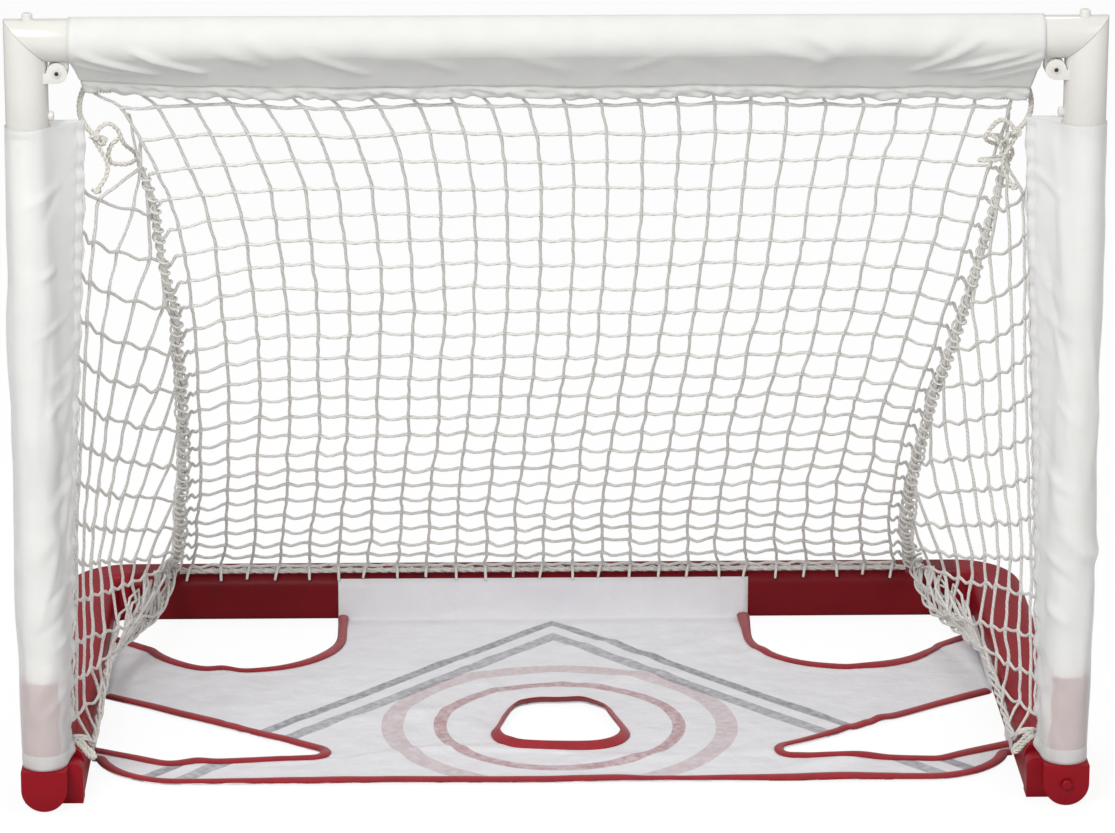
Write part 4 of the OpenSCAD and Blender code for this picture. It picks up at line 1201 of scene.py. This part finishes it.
class GOAL_OT_net(bpy.types.Operator):
    """Square-mesh cord net: back panel, gathered side panels, laced seams and hem cord"""

    bl_idname = "goal.net"
    bl_label = "Net"

    def execute(self, context):
        noise.seed_set(NET_SEED)
        self.shape = NetShape()
        self.cord = self.shape.settings.cord
        net_cord = braided(
            "braided_net_cord", colours().cord, length_mm=750, pitch_mm=9, strands=2
        )
        self.add_back(net_cord)
        for side, sign in SIDES:
            self.add_side(side, sign, net_cord)
            self.add_seam(side, sign, net_cord)
        self.add_hem_cord(net_cord)
        return {"FINISHED"}

    def stray(self, seed, i, j):
        """Wander of a mesh corner: neighbours wander together, with a little of their own."""
        together = noise.noise_vector(Vector((i * 0.37, j * 0.37, seed)))
        return self.shape.settings.wander * (together + 0.28 * jitter(seed, i, j))

    def through(self, points, wander, seed, sag=0.0, wave=0.0):
        """A cord through mesh corners: thicker at each, slack and a little wavy between them."""
        line = []
        for n, (a, b) in enumerate(zip(points, points[1:])):
            line.append((a, KNOT_WIDE))
            lean = wave * (1 + 0.8 * jitter(seed, n).x)
            for share, turn in ((0.33, lean), (0.67, -lean)):
                middle = a.lerp(b, share) + wander * jitter(seed, n, share)
                middle.z -= sag * (1 + 0.5 * jitter(seed, n).y) + turn
                line.append((middle, SLACK_WIDE))
        line.append((points[-1], END_WIDE))
        return line

    def add_back(self, net_cord):
        """Columns from the hem to hooks over the back bar, and rows from seam to seam."""
        shape = self.shape
        columns, rows = shape.settings.columns, shape.settings.rows
        stub = 0.42  # height of the first row under the hem, in meshes
        shares = [(j + stub) / (rows + stub) for j in range(rows + 1)]
        corners = []
        for i in range(columns + 1):
            line = []
            for j, share in enumerate(shares):
                t = shape.row(i, share)
                stray = self.stray(1, i, j) * (1.0 if j < rows else 0.2)
                line.append(shape.back(shape.column(i, t), t) + stray)
            corners.append(line)
        splines = []
        for i, line in enumerate(corners):
            hem = shape.back(shape.column(i, 0), 0)
            hem += Vector((jitter(2, i).x * 4 * MM, -1 * MM, 3 * MM))
            hook = line[-1] + Vector((jitter(4, i).x * 3 * MM - 2 * MM, 0, 0))
            hook.y, hook.z = BACK_LOW.y - 2.2 * MM, BACK_HIGH.z - (3 + 2 * jitter(5, i).y) * MM
            over = line[-1].lerp(hook, 0.5) + Vector((0, -1 * MM, 3.5 * MM))
            cord = self.through([hem] + line, 0.7 * MM, 3 + i)
            splines.append(cord + [(over, 1.0), (hook, 0.9)])
        for j, share in enumerate(shares):
            sag = (0.7 + 1.8 * share) * MM if j < rows else 0.2 * MM
            line = [column[j] for column in corners]
            if j < rows:
                left, right = self.to_seam(line[0], share, -1), self.to_seam(line[-1], share, 1)
                line = left[::-1] + line + right
            splines.append(self.through(line, 0.6 * MM, 40 + j, sag, (0.2 + 0.5 * share) * MM))
        back = cord_piece(
            "net_back_cords", splines, self.cord, 2, net_cord, "frame"
        )
        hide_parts("net_back")

    def to_seam(self, start, share, sign):
        """The last stretch of a back row: out past the outer column, then down to the seam."""
        shape = self.shape
        t = max(share + (0.058 * math.sin(math.pi * share) + 0.008), 0.10)
        end = shape.seam(min(max(t, SEAM_TOP), 0.995), sign)
        bend = start.lerp(end, 0.45)
        bend.z += 0.28 * (start.z - end.z)
        return [bend, end]

    def add_side(self, side, sign, net_cord):
        """Rows from the post to the seam or the lower edge, crossed by columns that hang from
        the seam, with a border cord at the front and a bundled one below."""
        shape = self.shape
        rows = shape.settings.side_rows
        crossings = []
        splines = []
        for j in range(rows):
            shares = [shape.side_column(k, j) for k in range(1, 16)]
            line = []
            for k, s in enumerate(shares):
                if s > 0.94:
                    break
                loose = min(1, 3 * s, 6 * (1 - s))
                point = shape.side(j, s, sign) + self.stray(5 + sign, k, j) * loose
                line.append(shape.clear_of_base(point, ROW_GAP))
            crossings.append(line)
            front = shape.front(shape.side_height(j), sign)
            end = shape.side_end(j, sign)
            wave = 0.9 * MM * sign
            splines.append(self.through([front] + line + [end], 0.7 * MM, 90 + j, 2.4 * MM, wave))
        for k in range(max(len(line) for line in crossings)):
            first = next(j for j, line in enumerate(crossings) if len(line) > k)
            hung = [line[k] for line in crossings[first:] if len(line) > k]
            top = shape.seam(min(max(shape.seam_share(first - 1.4), SEAM_TOP), 1), sign)
            foot = shape.lower_edge(min((k + 0.65) / 10.3, 1), sign)
            splines.append(self.through([top] + hung + [foot], 0.8 * MM, 60 + k))
        border = [shape.front(shape.side_height(j / 2), sign) for j in range(2 * rows - 1)]
        border = [p + Vector((-sign * (n % 2) * 2.5 * MM, 0, 0)) for n, p in enumerate(border)]
        splines.append([(p, 0.9) for p in border])
        for strand in range(3):
            splines.append(self.edge_strand(strand, sign))
        splines += self.gather(sign)
        piece = cord_piece(
            f"net_side_cords_{side}", splines, self.cord, 2, net_cord, "frame"
        )
        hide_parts(f"net_side_{side}")

    def edge_strand(self, strand, sign):
        """One of the cords that are drawn together along a side panel's lower edge."""
        line = []
        steps = 56
        for n in range(steps + 1):
            q = n / steps
            turn = 2 * math.pi * (q * 6.5 + strand / 3)
            wide = (1.6 + 1.6 * q) * MM
            lump = 1.2 * MM * noise.noise_vector(Vector((q * 11, strand * 5, sign)))
            offset = Vector((wide * math.cos(turn), 0, wide * math.sin(turn)))
            point = self.shape.lower_edge(q, sign) + offset + lump
            line.append((self.shape.clear_of_base(point, EDGE_GAP), 0.95))
        return line

    def gather(self, sign):
        """Knots and slack loops where the side panel is bunched into the back corner."""
        splines = []
        for n in range(9):
            q = 0.70 + 0.27 * n / 8
            place = self.shape.lower_edge(q, sign) + Vector((sign * 3 * MM, 0, 0))
            place += Vector((0, 0, (8 + 14 * abs(jitter(71, n, sign).x)) * MM))
            place += 6 * MM * jitter(72, n, sign)
            place = self.shape.clear_of_base(place, 6 * MM)
            splines.append(knot(place, (3.4 + 1.2 * jitter(73, n, sign).x) * MM, 30 + n))
        for n in range(14):
            low = self.shape.lower_edge(0.56 + 0.42 * n / 13, sign)
            across = min(0.66 + 0.022 * n + 0.08 * (n % 3), 0.95)
            high = self.shape.side(10.6 - 0.10 * n, across, sign)
            next_low = self.shape.lower_edge(0.575 + 0.42 * n / 13, sign)
            slack = low.lerp(high, 0.5) + 5 * MM * jitter(74, n, sign)
            back = next_low.lerp(high, 0.45) + 5 * MM * jitter(75, n, sign)
            line = [low, slack, high, back, next_low]
            splines.append([(self.shape.clear_of_base(p, EDGE_GAP), 0.95) for p in line])
        return splines

    def add_seam(self, side, sign, net_cord):
        """Border cords wound together, thicker towards the floor, with a lacing round them."""
        length, strand_pitch, strands, steps = 740 * MM, 75 * MM, 3, 80
        splines = []
        for strand in range(strands):
            line = []
            for n in range(steps + 1):
                t = SEAM_TOP + (1 - SEAM_TOP) * n / steps
                turn = 2 * math.pi * (t * length / strand_pitch + strand / strands)
                turn += 1.2 * noise.noise(Vector((t * 14, sign, strand)))
                lump = 0.75 + 0.35 * noise.noise(Vector((t * 31, strand, 1)))
                wide = self.seam_width(t, sign) * lump
                line.append((self.seam_point(t, sign, wide, turn), 1.15))
            splines.append(line)
        lacing_pitch, steps_a_turn = 13 * MM, 7
        steps = int(length * 0.92 / lacing_pitch) * steps_a_turn
        line = []
        for n in range(steps + 1):
            t = SEAM_TOP + (1 - SEAM_TOP) * n / steps
            turn = 2 * math.pi * n / steps_a_turn + 1.2 * noise.noise(Vector((t * 30, sign, 7)))
            wide = self.seam_width(t, sign) * 1.5 + 1.2 * MM
            wide *= 1 + 0.3 * noise.noise(Vector((t * 47, sign, 4)))
            line.append((self.seam_point(t, sign, wide, turn), 0.85))
        splines.append(line)
        piece = cord_piece(
            f"net_seam_cords_{side}", splines, self.cord, 2, net_cord, "frame"
        )
        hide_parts(f"net_seam_{side}")

    def seam_width(self, t, sign):
        """Radius at which the border cords wind: more towards the floor, with lumps."""
        lump = noise.noise(Vector((t * 9, sign * 4, 12)))
        return (1.5 + 2.0 * t + 1.3 * lump * (0.4 + t)) * MM

    def seam_point(self, t, sign, wide, turn):
        """A point beside the seam's line, which itself wanders."""
        sway = 3.2 * MM * noise.noise_vector(Vector((t * 11, sign * 3, 2)))
        across = Vector((math.cos(turn), 0, 0)) + self.shape.out_of_back(t) * math.sin(turn)
        return self.shape.seam(t, sign) + wide * across + sway * min(1, 12 * (1 - t))

    def add_hem_cord(self, net_cord):
        """Twisted cord along the back bar, with the net's lowest row laced to it."""
        low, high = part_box("net_hem_cord")
        y, z = (low.y + high.y) / 2, (low.z + high.z) / 2
        strands, steps, steps_a_turn, wide = 3, 150, 7, 1.25 * MM
        splines = []
        for strand in range(strands):
            line = []
            for n in range(steps + 1):
                x = low.x + (high.x - low.x) * n / steps
                turn = 2 * math.pi * (n / steps_a_turn + strand / strands)
                point = Vector((x, y + wide * math.cos(turn), z + wide * math.sin(turn)))
                line.append((point, 0.98))
            splines.append(line)
        lace = []
        steps, steps_a_turn, wide, raised = 288, 6, 2.6 * MM, 0.8 * MM
        for n in range(steps + 1):
            x = low.x + (high.x - low.x) * n / steps
            turn = 2 * math.pi * n / steps_a_turn + 0.5 * noise.noise(Vector((x * 40, 0, 3)))
            rise = raised + wide * math.sin(turn)
            lace.append((Vector((x, y + wide * math.cos(turn), z + rise)), 0.6))
        splines.append(lace)
        piece = cord_piece(
            "net_hem_cords", splines, self.cord, 1, net_cord, "frame"
        )
        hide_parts("net_hem_cord")


def knot(centre, size, seed):
    """A spline wound twice through itself, like a small tight knot."""
    turned = Matrix.Rotation(math.pi * jitter(seed, 1).x, 3, jitter(seed, 2).normalized())
    line = []
    steps = 18
    for n in range(steps + 1):
        a = 2 * math.pi * n / steps
        loop = Vector((
            math.sin(a) + 2 * math.sin(2 * a), math.cos(a) - 2 * math.cos(2 * a), -math.sin(3 * a)
        ))
        line.append((Vector(centre) + size * 0.36 * (turned @ loop), 0.95))
    return line


def twisted(route, diameter, pitch, strands=3, steps=10):
    """Splines of a laid rope: strands that wind round a smooth curve through the route."""
    curve = [route[0]]
    for n in range(len(route) - 1):
        a, b, c = route[max(n - 1, 0)], route[n], route[n + 1]
        d = route[min(n + 2, len(route) - 1)]
        square, cube = 2 * a - 5 * b + 4 * c - d, 3 * b - a - 3 * c + d
        for k in range(1, steps + 1):
            t = k / steps
            curve.append(0.5 * (2 * b + (c - a) * t + square * t**2 + cube * t**3))
    wide = diameter * 0.27  # from the rope's middle to a strand's
    splines = []
    for strand in range(strands):
        line = []
        run = 0.0
        across = None
        for n, point in enumerate(curve):
            ahead = (curve[min(n + 1, len(curve) - 1)] - curve[max(n - 1, 0)]).normalized()
            if across is None:
                across = ahead.orthogonal().normalized()
            across = (across - ahead * across.dot(ahead)).normalized()
            third = ahead.cross(across)
            if n:
                run += (point - curve[n - 1]).length
            turn = 2 * math.pi * (run / pitch + strand / strands)
            line.append((point + wide * (math.cos(turn) * across + math.sin(turn) * third), 1.0))
        splines.append(line)
    return splines


class GOAL_OT_lashings(bpy.types.Operator):
    """Rope lashings at the net's upper corners and rope ties over the rails"""

    bl_idname = "goal.lashings"
    bl_label = "Lashings and ties"

    def execute(self, context):
        rope = braided(
            "laid_polyester_rope", colours().rope, length_mm=60, pitch_mm=9, strands=2
        )
        thick, thin = 4.8 * MM, 3.4 * MM
        strand = thick * 0.52
        for side, sign in SIDES:
            splines = twisted(self.lashing(sign), thick, 11 * MM)
            for ring in self.rings(sign):
                splines += twisted(ring, thin, 9 * MM, 2)
            splines.append(self.wound(sign))
            knots = ((10, 4, -35), (13, 3, -38), (5, 2, -33), (6, 3, -80))
            for n, place in enumerate(knots):
                splines.append(knot(self.corner(sign, place), 3.6 * MM, 50 + n))
            cord_piece(f"corner_lashing_{side}", splines, strand, 1, rope, "frame")
            splines = twisted(self.tie(sign), thick, 11 * MM)
            piece = cord_piece(f"rail_tie_{side}", splines, strand, 1, rope, "base")
            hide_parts(f"net_tie_{side}")
        return {"FINISHED"}

    def corner(self, sign, place):
        """A place in mm inward, back and up from the hem's corner."""
        a, b, c = place
        x, y, z = -net_settings().top_half, BAR_FLAP_HIGH.y + 1.2 * MM, BAR_FLAP_LOW.z
        return Vector((-sign * (x + a * MM), y + b * MM, z + c * MM))

    def lashing(self, sign):
        """From the hem's corner, out round the post flap's upper corner and back in."""
        places = (
            (17, 3.6, 10), (8, 3.6, 11), (0, 3.4, 11), (-4, 3.2, 5), (-6.5, 3.2, -4),
            (-6.5, 3.4, -14), (-3, 3.4, -23), (3, 3.6, -30), (8, 4.0, -35), (12, 5.0, -37),
        )
        return [self.corner(sign, p) for p in places]

    def wound(self, sign):
        """Turns of rope wound over the hem's end, which is drawn up on the left, in mm."""
        line = []
        turns, steps, deep, tall, run = 7, 8, 4.2, 5.6, 19
        rise, forward = (11.5, 1.8) if sign < 0 else (2.5, 0.4)
        for n in range(turns * steps + 1):
            angle = 2 * math.pi * n / steps
            along = 1 + run * n / (turns * steps)
            place = (along, deep * math.cos(angle) - forward, rise + tall * math.sin(angle))
            line.append((self.corner(sign, place), 1.0))
        return line

    def rings(self, sign):
        """Loops of thinner rope that join the lashing to the seam and the side panel."""
        top = NetShape().seam(SEAM_TOP, sign)
        upper = ((6, 4, -32), (10, 5, -26), (17, 7, -23), (24, 10, -29), (29, 14, -42))
        lower = (
            (25, 12, -37), (19, 10, -42), (16, 10, -50), (18, 12, -58), (26, 15, -60), (33, 18, -60)
        )
        outer = ((3, 4, -33), (9, 5, -44), (15, 6, -56), (14, 5, -68), (6, 3.2, -80))
        loops = [[self.corner(sign, p) for p in ring] for ring in (upper, lower, outer)]
        loops[0] += [top + Vector((sign * 4 * MM, -3 * MM, 14 * MM)), top]
        loops[1] += [top + Vector((sign * 2 * MM, -3 * MM, 9 * MM))]
        return loops

    def tie(self, sign):
        """Round the net's lower front corner and over the rail's inner edge."""
        low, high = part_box("net_tie_left")
        y = (low.y + high.y) / 2
        places = (
            (-24, 2, 2.6), (-16, 0, 2.8), (-8, -1, 1.6), (-1.5, 0, -5), (4, 1, -12),
            (8, 3, -14), (6, 5, -10), (1.6, 5, -6), (-3, 5.5, -0.5), (-10, 6.5, 2.6), (-17, 8, 2.7),
        )
        return [
            Vector((-sign * (RAIL_HIGH.x + a * MM), y + b * MM, RAIL_HIGH.z + c * MM))
            for a, b, c in places
        ]


TAPE_STEP = 6 * MM  # between the rings of a tape's mesh
TAPE_LIFT = 0.4 * MM  # from the target's cloth to the middle of its binding


class GOAL_OT_target(bpy.types.Operator):
    """Floor target: rippled cloth with bound openings and a bound hole"""

    bl_idname = "goal.target"
    bl_label = "Target"

    def execute(self, context):
        self.side = CLOTH_HIGH.x
        self.front = CLOTH_LOW.y
        self.back = CLOTH_HIGH.y
        self.feet = self.front - 60 * MM
        self.wide = 9 * MM
        self.add_cloth()
        tape = binding_tape()
        self.add_bindings(tape)
        self.add_hole_binding(tape)
        return {"FINISHED"}

    def arc(self, x, y, radius, start, end, steps=16):
        angles = [math.radians(start + (end - start) * n / steps) for n in range(steps + 1)]
        return [Vector((x + radius * math.cos(a), y + radius * math.sin(a))) for a in angles]

    def front_edge(self):
        """Right half of the front edge, from the middle to the rail."""
        r = 78 * MM
        corner = self.arc(self.side - r, self.front + r, r, -90, -15)
        flat = [Vector((x * (self.side - r) / 10, self.front)) for x in range(10)]
        return flat + corner + [Vector((self.side, self.feet + 118 * MM))]

    def side_opening(self):
        """Edge of the right side opening, from the rail in front to the rail behind."""
        tip = self.arc(214 * MM, self.feet + 132 * MM, 9 * MM, 0, 360, 40)
        corner = self.arc(self.side - 69 * MM, self.feet + 130 * MM, 18 * MM, 0, 360, 40)
        past = self.side + 50 * MM
        ends = [Vector((past, self.feet + 176 * MM)), Vector((past, self.feet + 279 * MM))]
        points = tip + corner + ends
        ring = [points[i] for i in geometry.convex_hull_2d(points)]
        start = min(range(len(ring)), key=lambda i: (ring[i] - ends[0]).length)
        ring = ring[start:] + ring[:start]
        if (ring[1] - ends[1]).length < 1 * MM:
            ring = [ring[0]] + ring[:0:-1]
        front = ring[0].lerp(ring[1], (past - self.side) / (past - ring[1].x))
        return [front] + ring[1:-1] + [Vector((self.side, self.feet + 279 * MM))]

    def back_opening(self):
        """Edge of the opening beside the back bar, from the rail to the bar."""
        r, half = 88 * MM, 196 * MM
        wing = self.back - 52 * MM
        low = wing - 50 * MM
        middle = low + r / 2
        bend = self.arc(half + r, middle, r, -21, -180, 22)
        return [Vector((self.side, wing - 2 * MM))] + bend + [Vector((half, self.back))]

    def ripples(self, x, y):
        """Height of the cloth: long soft folds, flat along the bindings' ends."""
        sag = cloth_settings().target_sag
        lines = random_creases(31, 16, (-0.34, 0.30, -0.2, 0.15), (0.12, 0.05), 9 * MM, 1.5 * sag)
        lines += random_creases(32, 14, (-0.30, 0.34, -0.2, 0.15), (-0.05, 0.12), 8 * MM, 1.4 * sag)
        lines += random_creases(33, 12, (-0.36, 0.30, -0.21, -0.12), (0.09, 0.01), 6 * MM, 1.5 * sag)
        lump = 0.7 * ripple(x, y, 0.09, 13) + 0.4 * ripple(x, y, 0.035, 14)
        return 1.0 * MM + sag * (1 + lump) * 0.6 + np.abs(creases(x, y, lines))

    def hole_ring(self, grow):
        """The hole's outline, a little narrower at the back."""
        low, high = HOLE_LOW, HOLE_HIGH
        tape = 10 * MM
        x, y = HOLE_X, HOLE_Y
        half, deep = (high.x - low.x) / 2 - tape, (high.y - low.y) / 2 - tape
        r, taper = 30 * MM, 12 * MM
        points = []
        for s in (-1, 1):
            points += self.arc(x + s * (half - r), y + r - deep, r + grow, 0, 360, 48)
            points += self.arc(x + s * (half - r - taper), y + deep - r, r + grow, 0, 360, 48)
        return [points[i] for i in geometry.convex_hull_2d(points)]

    def add_cloth(self):
        """The outline filled flat, cut into small squares, then rippled and turned up at the bar."""
        turned_up = BACK_HIGH.z - 3 * MM
        right = self.front_edge() + self.side_opening() + self.back_opening()
        right.append(Vector((196 * MM, self.back + turned_up)))
        outline = right + [Vector((-p.x, p.y)) for p in reversed(right)]
        kept = [outline[0]]
        for point in outline[1:]:
            if (point - kept[-1]).length > 0.2 * MM:
                kept.append(point)
        curve = bpy.data.curves.new("target_outline", "CURVE")
        curve.dimensions = "2D"
        curve.fill_mode = "BOTH"
        for ring in (kept, self.hole_ring(4 * MM)):
            spline = curve.splines.new("POLY")
            spline.points.add(len(ring) - 1)
            for point, place in zip(spline.points, ring):
                point.co = (place.x, place.y, 0, 1)
            spline.use_cyclic_u = True
        holder = bpy.data.objects.new("target_outline", curve)
        bpy.context.scene.collection.objects.link(holder)
        depsgraph = bpy.context.evaluated_depsgraph_get()
        flat = bpy.data.meshes.new_from_object(holder.evaluated_get(depsgraph))
        bpy.data.objects.remove(holder)
        bm = bmesh.new()
        bm.from_mesh(flat)
        bmesh.ops.remove_doubles(bm, verts=bm.verts, dist=0.05 * MM)
        step = 7 * MM
        for axis, low, high in ((0, -self.side, self.side), (1, self.front, self.back + turned_up)):
            for n in range(1, int((high - low) / step)):
                place, normal = [0, 0, 0], [0, 0, 0]
                place[axis], normal[axis] = low + n * step, 1
                every = bm.verts[:] + bm.edges[:] + bm.faces[:]
                bmesh.ops.bisect_plane(bm, geom=every, dist=1e-6, plane_co=place, plane_no=normal)
        area = sum(f.calc_area() for f in bm.faces)
        if sum(f.normal.z for f in bm.faces) < 0:
            bmesh.ops.reverse_faces(bm, faces=bm.faces)
        layer = bm.loops.layers.uv.new("UVMap")
        for face in bm.faces:
            for loop in face.loops:
                loop[layer].uv = loop.vert.co.xy
        bm.verts.ensure_lookup_table()
        x = np.array([v.co.x for v in bm.verts])
        y = np.array([v.co.y for v in bm.verts])
        lift = self.ripples(x, y) * smooth_step((self.back - y) / 0.05 + 0.15)
        over = np.clip(y - self.back, 0, None)
        for vert, z, up in zip(bm.verts, lift, over):
            vert.co.z = z + up
            vert.co.y = min(vert.co.y, self.back) + (0.6 * MM if up else 0)
        mesh = bpy.data.meshes.new("target_cloth_panel")
        bm.to_mesh(mesh)
        bm.free()
        bpy.data.meshes.remove(flat)
        cloth = polyester(
            "printed_white_polyester", colours().target, see_through=0.0, glow=0.05,
            paint=target_print, slack_mm=14,
        )
        panel = place_piece(mesh, "target_cloth_panel", cloth, "base")
        solidify(panel, 0.7 * MM, offset=-1)
        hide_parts("target_cloth")

    def resample(self, path, step):
        """Evenly spaced points along a path."""
        runs = [0.0]
        for a, b in zip(path, path[1:]):
            runs.append(runs[-1] + (b - a).length)
        count = max(4, int(runs[-1] / step))
        even = np.linspace(0, runs[-1], count + 1)
        xs = np.interp(even, runs, [p.x for p in path])
        ys = np.interp(even, runs, [p.y for p in path])
        return list(zip(xs, ys))

    def tape_mesh(self, name, paths):
        """Tape folded over an edge: a tube along each path, a little narrower and wider."""
        parts = []
        for path in paths:
            even = self.resample(path, TAPE_STEP)
            heights = self.ripples(*[np.array(c) for c in zip(*even)]) + TAPE_LIFT
            widths = [1.08 + 0.5 * noise.noise(Vector((x * 9, y * 13, 3))) for x, y in even]
            tube = zip(even, heights, widths)
            parts.append([(Vector((x, y, height)), wide) for (x, y), height, wide in tube])
        return curve_mesh(name, parts, self.wide, 2, 2)

    def flatten(self, mesh, thickness):
        """Presses round tubes down to tape, which lies 0.5 mm higher."""
        flat = np.empty(len(mesh.vertices) * 3)
        mesh.vertices.foreach_get("co", flat)
        places = flat.reshape(-1, 3)
        heights = self.ripples(places[:, 0], places[:, 1]) + TAPE_LIFT
        lifted = heights + 0.5 * MM
        places[:, 2] = lifted + (places[:, 2] - heights) * thickness / self.wide
        mesh.vertices.foreach_set("co", places.ravel())
        mesh.update()

    def add_bindings(self, tape):
        """Tape along the front edge and along the openings' edges."""
        inset = self.wide / 2
        front = self.front_edge()
        whole_front = [Vector((-p.x, p.y)) for p in reversed(front)] + front[1:]
        paths = [self.inset_path(whole_front, inset)]
        for sign in (-1, 1):
            for edge in (self.side_opening(), self.back_opening()):
                turned = [Vector((sign * p.x, p.y)) for p in edge]
                paths.append(self.inset_path(turned, inset * sign))
        mesh = self.tape_mesh("target_edge_binding", paths)
        self.flatten(mesh, 4.2 * MM)
        piece = place_piece(mesh, "target_edge_binding", tape, "base")
        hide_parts("target_binding")

    def inset_path(self, path, inset):
        """The path moved to its left by inset."""
        moved = []
        for n, point in enumerate(path):
            ahead = (path[min(n + 1, len(path) - 1)] - path[max(n - 1, 0)]).normalized()
            moved.append(point + inset * Vector((-ahead.y, ahead.x)))
        return moved

    def add_hole_binding(self, tape):
        """Tape round the hole, standing up a little from the cloth."""
        half_wide, half_thick, lift = 5.2 * MM, 1.1 * MM, 3.1 * MM
        ring = self.hole_ring(5 * MM)
        curve_points = self.resample(ring + [ring[0]], TAPE_STEP)[:-1]
        heights = self.ripples(*[np.array(c) for c in zip(*curve_points)])
        bm = bmesh.new()
        layer = bm.loops.layers.uv.new("UVMap")
        profile = self.arc(0, 0, 1, 0, 360, 12)[:-1]
        rings = []
        for n, ((x, y), h) in enumerate(zip(curve_points, heights)):
            before, after = curve_points[n - 1], curve_points[(n + 1) % len(curve_points)]
            ahead = (Vector(after) - Vector(before)).normalized()
            out = Vector((ahead.y, -ahead.x))
            if out.dot(Vector((x - HOLE_X, y - HOLE_Y))) <= 0:
                out.negate()
            lean = math.radians(38 + 16 * noise.noise(Vector((x * 22, y * 22, 6))))
            verts = []
            for p in profile:
                across, thick = p.x * half_wide, p.y * half_thick
                a = across * math.cos(lean) + thick * math.sin(lean)
                b = -across * math.sin(lean) + thick * math.cos(lean)
                verts.append(bm.verts.new((x + out.x * a, y + out.y * a, h + lift + b)))
            rings.append(verts)
        for n in range(len(rings)):
            a, b = rings[n], rings[(n + 1) % len(rings)]
            for k in range(len(profile)):
                m = (k + 1) % len(profile)
                face = bm.faces.new((a[k], b[k], b[m], a[m]))
                for loop, along in zip(face.loops, (n, n + 1, n + 1, n)):
                    loop[layer].uv = (along * TAPE_STEP, 0)
        bmesh.ops.recalc_face_normals(bm, faces=bm.faces)
        mesh = bpy.data.meshes.new("target_hole_edge")
        bm.to_mesh(mesh)
        bm.free()
        piece = place_piece(mesh, "target_hole_edge", tape, "base")
        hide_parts("target_hole_binding")


class GOAL_OT_tabs(bpy.types.Operator):
    """Cloth tabs that hold the target to the rails"""

    bl_idname = "goal.tabs"
    bl_label = "Tabs"

    def execute(self, context):
        cloth = polyester("white_polyester_tabs", colours().target, see_through=0.0, glow=0.05)
        dress(["target_tab_left", "target_tab_right"], cloth)
        return {"FINISHED"}


# ---------------------------------------------------------------------------------------------
# Panel, registration and the run
# ---------------------------------------------------------------------------------------------


PIECES = (
    GOAL_OT_stage, GOAL_OT_mouldings, GOAL_OT_hardware, GOAL_OT_crossbar_sleeve,
    GOAL_OT_post_sleeves, GOAL_OT_net, GOAL_OT_lashings, GOAL_OT_target, GOAL_OT_tabs,
)
SETTINGS = (
    ("goal_net", GoalNetSettings), ("goal_cloth", GoalClothSettings),
    ("goal_colours", GoalColourSettings),
)


class GOAL_PT_panel(bpy.types.Panel):
    """Lists the goal's sizes, colours and pieces"""

    bl_idname = "GOAL_PT_panel"
    bl_label = "Hockey goal"
    bl_space_type = "VIEW_3D"
    bl_region_type = "UI"
    bl_category = "Goal"

    def draw(self, context):
        for name, group in SETTINGS:
            box = self.layout.box()
            for key in group.__annotations__:
                box.prop(getattr(context.scene, name), key)
        for piece in PIECES:
            self.layout.operator(piece.bl_idname)


def register():
    for _, group in SETTINGS:
        bpy.utils.register_class(group)
    for name, group in SETTINGS:
        setattr(bpy.types.Scene, name, bpy.props.PointerProperty(type=group))
    for piece in (*PIECES, GOAL_PT_panel):
        bpy.utils.register_class(piece)


def unregister():
    for piece in (GOAL_PT_panel, *reversed(PIECES)):
        bpy.utils.unregister_class(piece)
    for name, group in reversed(SETTINGS):
        delattr(bpy.types.Scene, name)
        bpy.utils.unregister_class(group)


def main():
    register()
    for piece in PIECES:
        family, name = piece.bl_idname.split(".")
        getattr(getattr(bpy.ops, family), name)()


if __name__ == "__main__":
    main()
